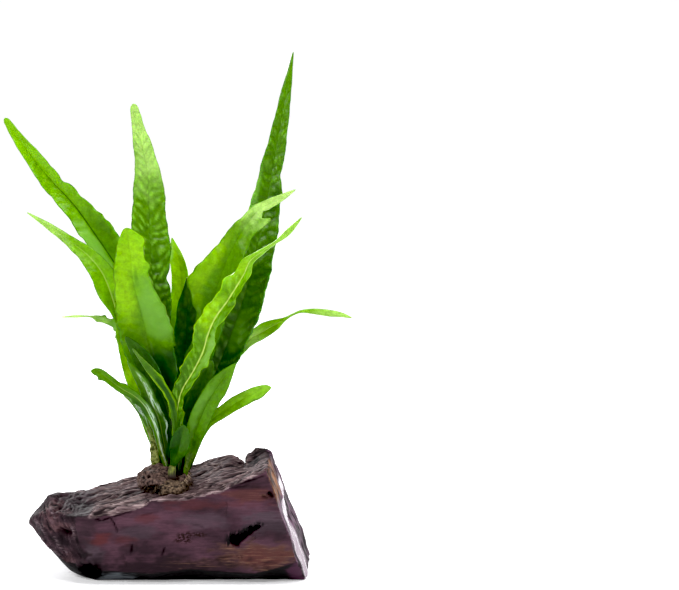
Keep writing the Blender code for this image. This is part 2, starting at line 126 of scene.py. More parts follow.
# Ages run from 0, young, to 1, old, at a frond's foot and tip; the darker, older colours given to feet and to
# fronds deep in the clump are partly painted shade. Pale is how much painted sheen its tip takes.
# A lobe swells or notches one edge of a blade: side (-1 left, 1 right), height, length, reach and any sweep
# to the tip. A mark is a soft patch of painted light, sheen or shade, or of olive colour: kind, place across
# the blade from -1 to 1, height, its reach across and along, and strength. A route's rows are x, y, z, the
# blade's half width and any roll in degrees, which turns the right half away.
FRONDS = (
    Frond("left_tall", "grown_leaf", (0.75, 0.1), 0, 28, 0.8, 0.35, -0.9,
        ((1, 192.5, 2.4, -1.2), (1, 189, 2, 0.5, 0.4), (1, 184.5, 2.2, -0.8), (1, 206, 9, 1.3)),
        (("painted_sheen", -0.6, 163, 0.6, 17, 0.8), ("deep", 0.5, 162, 0.5, 22, 0.3)),
        ((-5, 4, 57, 2.6), (-10, 11, 106, 4, 10), (-17, 14, 124, 7, 20), (-28, 16, 150, 9.5, 30),
         (-39, 17, 167, 9.6, 28), (-51, 18, 184, 7.2, 10), (-63, 18.5, 197, 5.7), (-74, 19, 211, 3.9),
         (-85.5, 20, 227.5, 1.5))),
    Frond("centre_tall", "grown_leaf", (0.9, 0.3), 0.6, 12, 0.9, 1.6, -0.2,
        ((1, 215, 4, 0.8), (1, 146.5, 3.4, -2.4), (1, 160, 9, 0.8), (1, 134, 6, 0.9)),
        (("pale", 0.1, 214, 1.3, 22, 0.6), ("deep", 0, 140, 1.4, 22, 0.3)),
        ((-1.5, 1, 57, 2), (-6, 4, 110, 5.5), (-8, 4.5, 136, 7.8), (-10, 4, 159, 9.6), (-10.5, 3, 180, 9),
         (-11, 1, 201, 6.6), (-14, -1, 217, 3.9), (-17, -4, 234, 1.8))),
    Frond("front_broad", "young_leaf", (1, 0.1), 0, 15, 1, 0.4, -0.15,
        ((-1, 171, 3, -0.4, -0.8), (1, 168.5, 3.2, 3, -0.4), (1, 157, 2.6, 1.4)),
        (("painted_sheen", 0.5, 132, 0.6, 20, 0.75), ("bright", -0.6, 147, 0.6, 20, 0.9),
         ("bright", 0, 164, 1.3, 15, 0.9), ("deep", 0.1, 102, 1.3, 13, 1), ("deep", 0.2, 149, 0.12, 6, 0.3)),
        ((-1.5, -3.5, 57, 2.5), (-2, -5, 78, 5), (-5, -8, 100, 9.5), (-9, -10, 112.5, 13.2),
         (-10.5, -12, 120, 13.8), (-12, -14.5, 128, 13.2), (-14, -17, 137.5, 11.6), (-16, -20, 147.5, 9.6),
         (-16.5, -22, 156.5, 8.6), (-16.5, -25.5, 163, 6.9), (-18, -28.5, 174, 3.7))),
    Frond("left_low", "young_leaf", (0.3, 0.2), 0.6, 18, 0.8, 0.3, 0.3,
        ((-1, 127, 9, -4), (-1, 112, 6, -1.4)),
        (("deep", 0, 128, 1, 16, 0.4), ("bright", 0, 104, 1, 12, 0.9)),
        ((-6, -3, 57, 2.2), (-14, -5, 87, 4.5), (-23, -5, 117, 5.5), (-33, -2, 149, 6.3), (-40, 0, 158, 4.9),
         (-49, 2, 165, 3.1), (-61, 6, 173, 1.8), (-73, 10, 180, 0.3))),
    Frond("left_wisp", "young_leaf", (0.6, 0.4), 1, 10, 0.9, 0.2, 0,
        ((-1, 117.5, 1.6, 1.6, -2), (1, 123, 1.4, 1.6, 1), (-1, 126, 2.2, 1), (1, 125.2, 1, 1.2),
         (-1, 121.5, 1, 1.2), (1, 119.5, 1.1, 1)),
        (("painted_sheen", 0, 118, 1, 14, 0.6),),
        ((-8, 3.5, 56, 1), (-18, 6, 88, 1.5), (-25, 12, 112.5, 1.8, 30), (-29.5, 15, 122, 1.9, -20),
         (-34.5, 16, 124.5, 1.6, 10), (-39, 17, 126, 1.3, 20), (-42.5, 17.5, 126.5, 0.5),
         (-50.5, 19, 126.5, 0.7), (-58, 20, 126, 0.3))),
    Frond("left_curl", "grown_leaf", (0.8, 0.55), 0, 25, 1.8, 0.6, 0.3,
        ((-1, 103.5, 1.6, 1.4, 1.5), (1, 96, 2.2, 1), (-1, 91.5, 1.4, 1.3, -1)),
        (("shine", 0.3, 74, 0.5, 22, 0.75), ("deep", -0.6, 88, 0.6, 8, 0.7), ("olive", 0.2, 62, 1, 9, 0.5)),
        ((-2, -11.5, 56, 1.3), (-4, -15, 64, 1.4), (-5.5, -19, 73, 1.7), (-7.5, -22.5, 80.5, 2.3, -10),
         (-10.5, -25.5, 87.5, 2.4, -15), (-15, -28, 92.5, 2.5), (-20.5, -30, 96, 2.3, 10),
         (-26, -32, 100.5, 2.2, 15), (-31, -33.5, 104.5, 2, 10), (-35, -34.5, 105.5, 1.5))),
    Frond("left_sliver", "grown_leaf", (0.65, 0.7), 0.3, 20, 0.2, 0.2, 0,
        ((-1, 62.5, 0.9, 0.5), (1, 62.5, 0.9, 0.4), (-1, 57.5, 1.2, 0.4)),
        (("shine", 0.1, 83, 0.5, 8, 0.8), ("olive", 0, 60, 2, 14, 0.9)),
        ((-7.5, -7.5, 55, 2.1), (-8, -8, 62, 2), (-8.5, -9, 67.5, 1.6), (-10, -10, 73, 1.5),
         (-12, -12, 79, 1.8), (-15, -14, 84.5, 1.8), (-18, -16, 88.5, 1.4), (-21.5, -18, 91, 0.3))),
    Frond("left_glossy", "old_leaf", (0.9, 0.6), 0, 20, 0.9, 0.4, 0.2,
        ((1, 76, 2.6, 0.9), (1, 84, 2.4, -0.7)),
        (("shine", 0.3, 91, 0.45, 11, 1), ("deep", -0.7, 80, 0.6, 18, 0.9), ("shine", 0.95, 74, 0.25, 9, 0.8),
         ("deep", 0.9, 92, 0.4, 14, 0.9), ("painted_sheen", 0.4, 92, 0.6, 12, 0.6)),
        ((-2, -8, 56, 1.4), (-2, -10.5, 61.5, 1.8), (-3, -13.5, 70, 2.4), (-5, -17, 81, 3.4),
         (-8, -19.5, 88, 3.8), (-11, -22, 96.5, 3.2), (-15, -24, 103.5, 2), (-18.5, -25.5, 109, 0.4))),
    Frond("front_dark", "old_leaf", (1, 0.85), 0, 15, 0.8, 0.4, -0.5,
        (),
        (("deep", 0.8, 104, 0.5, 16, 0.7), ("deep", 0, 96, 1.2, 10, 0.6)),
        ((-0.5, -7.5, 56, 2.5), (-1, -9, 80, 4.5), (-7.5, -14.5, 99, 5.2), (-13.5, -19, 112, 4.2),
         (-19.5, -24, 121, 0.8))),
    Frond("front_wavy", "grown_leaf", (0.75, 0.75), 0.1, 25, 0.9, 0.4, 0,
        ((1, 100, 2.6, 0.7), (-1, 92, 2, 0.6), (1, 88, 2.2, 0.6)),
        (("bright", -0.9, 96, 0.35, 14, 0.8), ("bright", 0.9, 92, 0.3, 14, 0.6),
         ("deep", 0, 92, 0.6, 14, 0.8)),
        ((2, -11.5, 56.5, 1.4), (4, -15, 68.5, 1.9), (4, -17, 76.5, 2), (3, -19.5, 84.5, 1.8),
         (1, -22, 92, 1.8), (-3, -24.5, 98.5, 2), (-8.5, -28, 106.5, 1.6), (-12, -30.5, 111.5, 0.8),
         (-15, -32.5, 116, 0.4))),
    Frond("centre_dark", "old_leaf", (0.7, 1), 0, 15, 0.6, 0.5, -0.5,
        (),
        (("bright", 0, 138, 0.5, 5, 0.12),),
        ((2.6, -1, 57, 2.6), (6, 1.5, 86, 5.4), (7, 3, 111, 6.2), (8, 4, 131, 5.4), (8.5, 5, 148, 0.8))),
    Frond("back_yellow", "young_leaf", (1, 0.05), 0, 15, 0.5, 0.3, 0.2,
        ((-1, 157, 7, 1.4), (-1, 126, 9, 2.2)),
        (("bright", 0, 145, 1, 20, 1),),
        ((1, 4.5, 56, 2.4), (3, 16, 94, 4.6), (2.5, 24, 129, 4.8), (1.5, 30, 152, 3.8),
         (-2.5, 34, 166, 0.4))),
    Frond("right_tall", "grown_leaf", (0.95, 0.55), 0, 15, 1, 1, -0.2,
        ((1, 200, 6, -1), (-1, 205, 5, 0.6)),
        (("painted_sheen", -0.85, 186, 0.25, 14, 0.7), ("deep", 0.6, 186, 0.4, 8, 0.7), ("deep", 0, 104, 1, 20, 0.35),
         ("painted_sheen", 0.3, 120, 0.5, 12, 0.5)),
        ((4.8, 2.5, 56, 2), (13.5, 6, 78, 4), (21, 9, 97, 7), (29, 11, 117, 9.8), (37, 13, 140, 10.5),
         (42, 15, 160, 9.8), (46, 17, 178, 8.3), (50, 19, 200, 6), (53, 20, 216, 4.7), (57, 22, 238, 2.9),
         (61, 24, 261, 0.3))),
    Frond("right_broad", "young_leaf", (0.95, 0.25), 0.9, 20, 1, 0.35, -0.15,
        ((1, 176, 3.4, 3.5, 8), (1, 182.5, 2.2, -1.4), (-1, 122, 15, -4.6), (-1, 163, 9, -2.2),
         (-1, 142, 6.5, 5)),
        (("deep", 0.5, 156, 0.5, 24, 0.25), ("deep", 0, 134, 1.4, 10, 0.35), ("pale", 0, 182, 1.4, 7, 0.8),
         ("bright", -0.7, 152, 0.4, 24, 0.7)),
        ((6, -3, 57, 2.2), (10, -3, 82, 5.5), (15, -3, 112, 8.8, -10), (20, -4, 130, 10.5, -20),
         (25, -4, 147, 11.5, -20), (31, -4.5, 162, 10, -15), (35.5, -5, 170, 7, -10), (39.5, -6, 175.5, 5),
         (43.5, -6.5, 180.5, 3.9), (49, -8, 184.5, 2.7), (55, -10.5, 187.5, 1.9), (63, -14, 192, 0.3))),
    Frond("front_yellow", "young_leaf", (0.75, 0.05), 0.3, 28, 1.4, 1.3, 0.9,
        ((-1, 147, 4, 2.2), (-1, 133, 4, 1.2), (1, 112.5, 3, 2.2, -1.5), (1, 104, 4, -1.2), (-1, 157, 4, 1.4),
         (1, 126, 4, -0.8)),
        (("painted_sheen", 0.6, 116, 0.4, 18, 0.7), ("pale", 0.6, 115, 0.4, 13, 0.45),
         ("deep", -0.6, 98, 0.6, 12, 0.4), ("bright", -0.5, 132, 0.6, 14, 1),
         ("bright", -0.3, 151, 0.7, 11, 0.8), ("deep", 0.7, 136, 0.45, 16, 0.35)),
        ((4.5, -12.5, 54, 1.4), (5, -16, 76, 3.6, -15), (5.2, -19, 85, 4.3, -25), (7.5, -22, 94, 4.6, -25),
         (13.5, -26, 104, 5.8, -25), (18.5, -28, 114, 6.6, -25), (21, -30, 122, 6.8, -25),
         (24.5, -32, 130, 6.4, -25), (31.5, -35.5, 140, 5.8, -25), (36, -37.5, 147, 5, -25),
         (39.5, -39.5, 153, 4, -20), (42.5, -42, 159, 2, -10), (48, -44, 163.5, 1.3), (54.5, -46, 168, 0.8),
         (59, -48, 171.5, 1.3), (63, -50, 175.5, 1.1), (67, -52, 180, 0.3))),
    Frond("right_pinched", "young_leaf", (0.6, 0), 0.6, 12, 0.5, 0.3, 0.3,
        ((-1, 119, 4, 0.7),),
        (("painted_sheen", 0.7, 112, 0.3, 12, 0.5), ("pale", 0, 114, 1, 9, 0.45), ("bright", 0, 112, 1, 14, 0.3)),
        ((8, 1.2, 55, 1), (12.8, 8, 68, 1.4), (20, 14, 90, 2.6), (30, 17, 106, 3.2), (38, 18, 114.5, 3.4),
         (46, 20.5, 119, 3.6), (51.5, 21.5, 122, 2.8), (56, 22.5, 124.5, 1.1), (60.5, 23, 127, 0.6),
         (64.5, 23.5, 128.5, 0.8), (72, 24, 128.5, 1.6), (79.5, 24.5, 127.5, 1.8), (86, 25, 126.5, 1.2),
         (91, 25, 125, 0.3))),
    Frond("right_low", "young_leaf", (0.35, 0.05), 0.15, 15, 0.5, 0.3, 0,
        ((1, 94, 2.5, -0.8),),
        (("deep", 0.9, 92, 0.2, 12, 0.5),),
        ((9.3, -7, 53, 1), (18.5, -9, 75, 2.4), (28, -12, 83, 3.4), (39, -15, 90, 3.7), (46, -16.3, 93, 3.2),
         (51, -17, 95, 1.6))),
    Frond("right_medium", "grown_leaf", (0.6, 0.45), 0, 20, 0.7, 0.4, -0.3,
        (),
        (("painted_sheen", -0.5, 84, 0.5, 18, 0.5), ("olive", 0, 56, 1.5, 6, 0.4)),
        ((8.4, -11.5, 53, 1.6), (9.4, -12.5, 58, 1.8), (11.5, -14, 65, 3.8), (13.5, -16, 73, 5),
         (20, -20, 88, 5.8), (27, -24, 99, 5), (34, -27, 108, 0.6))),
    Frond("front_oval", "old_leaf", (0.85, 0.8), 0, 10, 0.3, 0.3, -0.4,
        (),
        (("deep", -0.6, 68, 0.9, 14, 0.9),),
        ((1.5, -13.2, 54, 1.3), (3.5, -16, 60, 2.8), (5, -19, 63.5, 4.2), (6.5, -21, 68.5, 5),
         (7.5, -22.5, 73, 3.9), (8.5, -24, 77.5, 1.6))),
    Frond("right_inner", "old_leaf", (1, 0.5), 0, 15, 0.4, 0.3, 0,
        (),
        (("deep", 0, 92, 1.5, 20, 0.7),),
        ((6, -6.5, 56, 2.4), (10, -10, 78, 3.8), (15, -13, 93, 4.4), (19, -15, 102, 3.6),
         (22, -16, 108, 1.2))),
)

# Kinds of mark: a painted grey-green sheen, painted shade, a painted lit patch, a painted pale sheen, a
# painted whitish highlight, and the olive colour of old stalk feet.
MARKS = ("painted_sheen", "deep", "bright", "pale", "shine", "olive")

# Fronds whose margins carry a painted highlight in the lit green. The others have dark margins.
BRIGHT_EDGED = ("front_yellow", "front_wavy", "back_yellow")

# Fronds whose feet stand in the light at the front. The others get painted shade at the foot, which
# darkens them to near black towards the clump's hollow.
LIT_FEET = ("left_sliver", "left_curl", "left_glossy", "right_medium", "front_oval", "front_wavy")

# Patterns of a leaf's skin, with their size along each axis, detail and roughness, and what is made of them:
# shares, with the pattern, two values of it and the share at both, products of two, and colours at rising
# values.
LEAF_PATTERNS = (
    ("mottle", (9.0, 9.0, 9.0), 4.0, 0.5),
    ("blotches", (2.4, 2.4, 2.4), 3.0, 0.5),
    ("scars", (1.3, 1.3, 1.3), 4.0, 0.5),
)
LEAF_SHARES = (
    ("uneven", "mottle", 0.0, 1.0, -0.2, 0.2),
    ("skin", "mottle", 0.0, 1.0, 0.25, 0.45),
    ("shade", "vein", 0.3, 1.0, 1.0, 0.6),
    ("grain", "cells", 0.0, 1.0, 0.84, 1.12),
    ("patchy", "blotches", 0.3, 0.7, 0.82, 1.16),
    ("fading", "share", 0.95, 0.7, 0.0, 1.0),
    ("sheen", "streaks", 0.44, 0.55, 0.0, 1.0),
    ("foot", "Z", 64.0, 52.0, 0.0, 1.0),
)
LEAF_PRODUCTS = (("rib", "midrib", "fading"), ("gleam", "sheen", "shine"))
LEAF_TONES = (
    ("rim", "reach", (0.9, "#000000"), (0.98, (0.7, 0.7, 0.7, 1.0))),
    ("husk", "scars", (0.42, "#33340f"), (0.6, "#7f8446")),
)

# Driftwood: how fine its faces are, the slope of its grain to the right, and where each surface starts.
WOOD_FACE = 0.7
GRAIN_SLOPE = 0.2
KNOB_SLOPE = -0.9
GRAIN_SHEAR = 0.4
SAWN_LEFT = -43.0
SAWN_FRONT = -27.0
SAWN_PLANE = -32.5
END_START = 36.0
UNDERCUT_TOP = 10.0
ROPY_END = -14.0
KNOB_END = -34.0
KNOB_WEAR = 90

# Noises of the wood, each with its strength, size and seed: the edge of the sawn face, its saw marks, the
# splits of the broken end and the edges of its stains and its patches of painted sheen and shade.
SAWN_EDGE = ((5.0, 9.0, 4.0), (2.0, 2.5, 4.5))
SAW_MARKS = ((0.25, (30.0, 20.0, 9.0), 8.0), (0.08, (9.0, 9.0, 1.4), 9.0))
SPLITS = ((1.3, (6.0, 5.0, 14.0), 10.0), (0.6, (3.0, 2.0, 8.0), 11.0))
PATCH_EDGES = ((1.0, (7.0, 7.0, 3.0), 12.0), (0.5, (2.5, 2.5, 1.0), 13.0))

# The knot hole in the sawn face: x and z of its core, the way and length of its tail, its half width, how far
# round it the face is made anew, and its depth.
KNOT = (34.3, 22.0)
KNOT_TURN = radians(31.0)
KNOT_TAIL = 14.0
KNOT_RADIUS = 3.0
KNOT_MARGIN = 4.0
KNOT_DEPTH = 4.5

# Spot at the wood's lower left that is painted near black: its middle and half size.
DARK_SPOT = (-37.0, -31.0, 5.5)
DARK_SPOT_SIZE = (7.0, 20.0, 6.0)

# Rhizome and root mat: how fine their faces are, the mat's middle, where its right side is drawn in, how many
# loose roots it has, the stubs of its comb, and the steps of each root, which stays clear of the wood.
RHIZOME_FACE = 0.45
MAT_FACE = 0.4
MAT_MIDDLE = Vector((-1.5, -9.0, 47.0))
MAT_RIGHT = 6.5
LOOSE_ROOTS = 90
COMB_STUBS = 34
COMB_TOP = Vector((9.5, -12.5, 52.8))
COMB_FOOT = Vector((2.0, -22.5, 45.6))
COMB_BULGE = Vector((2.2, -1.2, 0.0))
ROOT_STEPS = 8
ROOT_CLEARANCE = 0.25

# Pits and folds of the rhizome and its roots, seen from the front: x, z, half width, half height and depth.
PITS = (
    (-12.5, 50, 0.9, 0.8, 1.4), (-9.5, 50.6, 0.9, 0.9, 1.4), (-9.8, 47.6, 0.7, 0.9, 1),
    (-7, 45, 4.5, 2.2, 1.6), (-11.5, 44.5, 1.6, 2, 1.2), (4.5, 52, 3, 1.4, 1.2), (-1, 46, 2.2, 0.6, 0.8),
)

# Grooves seen from the front: x and z of both ends, width and depth. Checks cross the sawn face, and crevices
# part the left knob from the block. Streaks of the knob are pale and raised, and end with a strength.
CHECKS = (
    (-26.5, 33.5, -23, 26, 0.4, 1), (-16.4, 20.5, -16.4, 16, 0.5, 0.9), (-0.5, 19, -2, 14.5, 0.5, 0.9),
    (29.6, 43, 29.8, 33, 0.3, 0.3), (12, 30.5, 19, 28.5, 0.5, 0.4), (-35.5, 33.5, -31, 31.8, 0.5, 1.2),
    (-31, 31.8, -26.5, 33.5, 0.5, 1.2), (-26.5, 33.5, -16, 36.5, 0.4, 0.8), (33, 49, 49, 54, 0.6, 0.9),
    (36, 52, 48.5, 56.5, 0.5, 0.8), (31, 47.5, 41, 49.5, 0.5, 0.6), (49.5, 46, 52.5, 43, 1.2, 1.6),
    (50, 42.5, 46.5, 44.5, 0.5, 0.8), (-12, 34.5, -3, 36.5, 0.5, 0.4), (-21, 17, -19, 9, 0.4, 0.3),
    (24, 13, 33, 14.5, 0.4, 0.5),
)
CREVICES = (
    (-53, 41, -44.5, 40, 1.1, 2), (-54, 25.5, -46, 24.5, 1.6, 2.2), (-46.5, 38, -45.5, 28, 2.6, 0.5),
    (-46, 24.5, -42, 12, 2.8, 0.6), (-57, 37, -53, 38.5, 0.5, 1.2), (-56.5, 34, -52.5, 36, 0.5, 1.3),
    (-58, 32, -53.5, 32.5, 0.5, 1.2), (-64, 27.5, -57, 23.5, 0.4, 0.9),
)
STREAKS = (
    (-67, 29, -59.5, 22.5, 0.8, 1), (-65, 22.5, -53, 13, 0.7, 1), (-59.5, 17, -46.5, 5.5, 0.8, 1),
    (-46, 29, -45.5, 21.5, 0.9, 1), (-59, 36, -54.5, 30.5, 0.5, 1), (-56, 22, -49, 14, 0.5, 1),
)

# Patches of the sawn face, and slate and plum ones of the undercut: x and z of the middle, half width, half
# height and strength. Red, brown and speck patches are stains, and plum the wood's own colour. Grey ones are
# a painted sheen, and dark ones darken the face in places and towards the bottom. Slate paints the undercut's
# shade grey rather than black.
STAINS_SHEEN_AND_SHADE = {
    "red": ((-31, 22.5, 6.5, 3, 0.9), (-21, 22, 7, 2.5, 0.5), (-10, 33, 6, 2.2, 0.6), (14, 40, 17, 3.2, 0.5),
            (40, 44, 14, 5, 0.5), (45, 14, 14, 5, 0.5)),
    "brown": ((42, 44, 12, 3, 0.6), (44, 14, 22, 7, 1), (15, 10, 16, 4, 0.5)),
    "grey": ((19, 31, 12, 4.5, 0.6), (50, 31, 14, 6, 0.9), (-14, 26, 10, 3.5, 0.5), (-36, 15, 6, 5, 0.8)),
    "dark": ((33, 48.5, 16, 1.4, 0.8), (-39, 27, 5, 9, 0.5), (-18, 17, 5, 4, 0.6), (-38, 25, 3, 2, 0.7),
             (0, 6, 46, 10, 0.9), (48, 27, 16, 5, 0.5), (43, 51, 10, 2.5, 0.6)),
    "specks": ((8.9, 23.6, 4.2, 3.4, 1), (16.5, 25.3, 3.6, 1.2, 1), (36, 14, 3, 1.5, 0.6)),
    "slate": ((-25, 3, 9, 3.2, 1),),
    "plum": ((64, 6, 5, 8, 1),),
}
UNDERCUT_SHADE_AND_STAIN = ("slate", "plum")

# Old wood left on the sawn face below its sloping rim: x and z of the middle, half width and half height.
RIM_SLOPE = 0.25
OLD_RIM = ((-32.5, 34.5, 5, 1.2), (-24, 36.6, 7, 1.9), (-15, 39, 7, 1.8))

# Patterns of the wood, and what is made of them, as for a leaf.
WOOD_PATTERNS = (
    ("mottle", (20.0, 12.0, 8.0), 5.0, 0.6),
    ("grain", (11.0, 8.0, 0.8), 6.0, 0.65),
    ("fibres", (9.0, 1.6, 0.7), 4.0, 0.5),
    ("dots", (1.3, 1.3, 0.9), 2.0, 0.5),
    ("upright", (4.0, 2.2, 14.0), 4.0, 0.5),
    ("upright_hairs", (1.0, 3.0, 5.0), 2.0, 0.5),
)
WOOD_SHARES = (
    ("worn", "grain", 0.3, 0.7, 0.8, 1.2),
    ("polish", "grain", 0.0, 1.0, 0.3, 0.55),
    ("scratched", "grain", 0.54, 0.64, 0.0, 0.35),
    ("dotted", "dots", 0.44, 0.52, 0.0, 1.0),
    ("combed", "upright_hairs", 0.42, 0.52, 0.0, 1.0),
    ("fibrous", "fibres", 0.4, 0.65, 0.0, 0.6),
    ("height", "ridge", -0.1, 0.9, 0.0, 1.0),
    # glint paints a highlight on the knob's highest ridges.
    ("glint", "ridge", 0.75, 1.0, 0.0, 0.25),
    ("inward", "Y", 4.0, -4.0, 0.0, 1.0),
    ("upward", "Z", 38.0, 43.0, 0.0, 1.0),
)
WOOD_PRODUCTS = (
    ("scratches", "scratched", "brown"),
    ("dark_dots", "dotted", "specks"),
    ("torn", "combed", "hairs"),
    ("frayed", "fibrous", "streaks"),
    ("fresh", "upward", "inward"),
    ("wet", "strip", "end"),
)
WOOD_TONES = (
    ("rubbed", "mottle", (0.35, "#281920"), (0.48, "#38242d"), (0.65, "#4b313c")),
    ("furrowed", "fibres", (0.3, "#20161a"), (0.5, "#594749"), (0.7, "#a08a88")),
    ("rounded", "mottle", (0.35, "#1a1216"), (0.5, "#38292f"), (0.65, "#5a4144")),
    ("split", "upright", (0.4, "#150c12"), (0.5, "#321f2c"), (0.62, "#614659")),
    ("orange", "upright", (0.4, "#1b0f0b"), (0.5, "#45281b"), (0.62, "#7d5539")),
    ("chipped", "fibres", (0.35, "#3e3034"), (0.5, "#806b6d"), (0.65, "#b8a3a4")),
)

# Colours of the wood's surfaces: name, base, and layers over it, each with the share that it covers and its
# colour, or with none and what darkens or lightens all below.
WOOD_LAYERS = (
    # On the front, grey is a painted sheen, and dark darkens it in places and towards the bottom.
    ("front", "rubbed", ("grey", "#42353d"), ("brown", "#4c342e"), ("red", "#492224"), ("dark", "#1c1116"),
     (None, "worn"), ("scratches", "#8c6a52"), ("dark_dots", "#1c0908"), ("torn", "#060405")),
    ("old", "#140e10", ("height", "furrowed")),
    # The knob's glint is a painted highlight on its ridges.
    ("worn_knob", "#150d11", ("height", "rounded"), ("glint", "#6c5860"), ("frayed", "#857278")),
    # The strip down the broken end is painted paler, a painted highlight.
    ("broken", "split", ("fresh", "orange"), ("strip", "#7b6a77")),
    ("pale_rim", "#241a1c", ("height", "chipped")),
    # Below: near-black painted shade on the underside and in the undercut, painted slate grey in one place;
    # plum is the wood's own colour.
    ("below", "#050304", ("slate", "#4a4e52"), ("plum", "#3a1e30")),
    # Under and hollow lay painted shade: near black on the underside and undercut and in the hollows.
    ("colour", "old", ("knob", "worn_knob"), ("sawn", "front"), ("rim", "pale_rim"), ("end", "broken"),
     ("under", "below"), ("hollow", "#040202")),
)


def linear(hex_colour):
    """Linear RGBA of an sRGB hex value."""
    values = [int(hex_colour[i:i + 2], 16) / 255 for i in (1, 3, 5)]
    return (*[v / 12.92 if v <= 0.04045 else ((v + 0.055) / 1.055) ** 2.4 for v in values], 1.0)


def grey(value):
    """Linear grey, or a plain number on a colour's socket."""
    return (value, value, value, 1.0)


def between(first, second, share):
    """Linear colour part of the way from the first to the second."""
    return tuple(a * (1 - share) + b * share for a, b in zip(first, second))


def feed(tree, node, inputs):
    """Set inputs of a node. Each takes a value, a hex colour, or the output that feeds it."""
    for name, value in inputs.items():
        if isinstance(value, bpy.types.NodeSocket):
            tree.links.new(value, node.inputs[name])
        else:
            node.inputs[name].default_value = linear(value) if isinstance(value, str) else value


def add(tree, kind, inputs=None, stops=(), output=0, **properties):
    """Add a node with its properties, inputs and colour stops. Its used output comes back."""
    node = tree.nodes.new("ShaderNode" + kind)
    for name, value in properties.items():
        setattr(node, name, value)
    feed(tree, node, inputs or {})
    if stops:
        ramp = node.color_ramp
        while len(ramp.elements) < len(stops):
            ramp.elements.new(0.5)
        for element, (place, colour) in zip(ramp.elements, stops):
            element.position = place
            element.color = linear(colour) if isinstance(colour, str) else colour
    return node.outputs[output]


def layered(tree, field, colour, layers):
    """A colour under layers in turn. Each has the name of the share that it covers, or none where it darkens
    or lightens what is below, and its colour. A colour's name in the field stands for it too."""
    for share, tint in layers:
        inputs = {0: field.get(share, 1.0), 6: field.get(colour, colour), 7: field.get(tint, tint)}
        how = "MIX" if share else "MULTIPLY"
        colour = add(tree, "Mix", inputs, output=2, data_type="RGBA", blend_type=how)
    return colour


def derive(tree, field, patterns=(), shares=(), products=(), tones=()):
    """Add to a field, the outputs by name that a finish is painted by: the place on two axes, noise patterns,
    shares that follow from one output, products of two, and colours that follow from one."""
    for axis in ("Y", "Z"):
        field[axis] = add(tree, "SeparateXYZ", {0: millimetres(tree)}, output=axis)
    for name, size, detail, roughness in patterns:
        field[name] = add(tree, "TexNoise", {"Vector": millimetres(tree, size), "Scale": 1.0,
                                             "Detail": detail, "Roughness": roughness})
    for name, source, *ends in shares:
        field[name] = add(tree, "MapRange", dict(enumerate((field[source], *ends))))
    for name, first, second in products:
        field[name] = add(tree, "Math", {0: field[first], 1: field[second]}, operation="MULTIPLY")
    for name, source, *stops in tones:
        field[name] = add(tree, "ValToRGB", {0: field[source]}, stops)


def new_material(name):
    """A material with its node tree and its Principled shader."""
    material = bpy.data.materials.new(name)
    material.use_nodes = True
    return material, material.node_tree, material.node_tree.nodes["Principled BSDF"]


def millimetres(tree, stretch=(1.0, 1.0, 1.0)):
    """Place on the object in millimetres, each axis shrunk by its stretch."""
    place = add(tree, "TexCoord", output="Object")
    return add(tree, "Mapping", {"Vector": place, "Scale": [1.0 / (MM * s) for s in stretch]})


def ramp(value, start, end):
    """Share of the way from start to end, held at 0 and 1 outside them."""
    return np.clip((value - start) / (end - start), 0.0, 1.0)


def ease(value, start, end):
    """Share of the way from start to end, with a smooth start and end."""
    t = ramp(value, start, end)
    return t * t * (3 - 2 * t)


def noise_over(x, y, z):
    """Smooth noise at places whose coordinates are numbers or arrays that broadcast."""
    x, y, z = np.broadcast_arrays(x, y, z)
    return np.reshape([noise.noise(Vector(place)) for place in zip(x.flat, y.flat, z.flat)], x.shape)


def noise_at(points, stretch, seed=0.0):
    """Smooth noise at points, each axis shrunk by its stretch."""
    return noise_over(*(points / np.array(stretch) + seed * 11.7).T)


def noises(points, rows):
    """Sum of noises, whose rows have their strength, size and seed."""
    return sum(strength * noise_at(points, size, seed) for strength, size, seed in rows)


def new_piece(name, vertices, faces, material, attributes=None):
    """Smooth mesh from points in millimetres, with an optional value for each vertex by attribute name."""
    mesh = bpy.data.meshes.new(name)
    mesh.from_pydata((np.asarray(vertices) * MM).tolist(), [], faces)
    mesh.shade_smooth()
    mesh.materials.append(material)
    for key, values in (attributes or {}).items():
        layer = mesh.attributes.new(key, "FLOAT", "POINT")
        layer.data.foreach_set("value", np.asarray(values, dtype=np.float32).ravel())
    piece = bpy.data.objects.new(name, mesh)
    bpy.context.scene.collection.objects.link(piece)
    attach(piece, "root")
    return piece


def loft_faces(rings, sides):
    """Faces of a closed tube whose rings follow each other in the list of vertices."""
    faces = []
    for ring in range(rings - 1):
        low = ring * sides
        for k in range(sides):
            ahead = (k + 1) % sides
            faces.append((low + k, low + ahead, low + sides + ahead, low + sides + k))
    faces.append(tuple(reversed(range(sides))))
    faces.append(tuple(range((rings - 1) * sides, rings * sides)))
    return faces


def camera():
    data = bpy.data.cameras.new("camera")
    data.lens = LENS
    data.sensor_width = SENSOR
    data.clip_start = 0.05
    data.clip_end = 50.0
    viewer = bpy.data.objects.new("camera", data)
    distance = LENS / SENSOR * FRAME_WIDTH * MM_PER_PIXEL
    pitch = radians(CAMERA_PITCH)
    back = Vector((0.0, -cos(pitch), sin(pitch)))
    viewer.location = (Vector(AIM) + back * distance) * MM
    viewer.rotation_euler = (pi / 2 - pitch, 0.0, 0.0)
    bpy.context.scene.collection.objects.link(viewer)
    bpy.context.scene.camera = viewer


def softbox(name, place, size, power):
    """Square area lamp that faces the plant's middle."""
    data = bpy.data.lights.new(name, "AREA")
    data.size = size
    data.energy = power
    lamp = bpy.data.objects.new(name, data)
    lamp.location = place
    lamp.rotation_euler = (Vector((0.0, 0.0, 0.1)) - Vector(place)).to_track_quat("-Z", "Y").to_euler()
    bpy.context.scene.collection.objects.link(lamp)


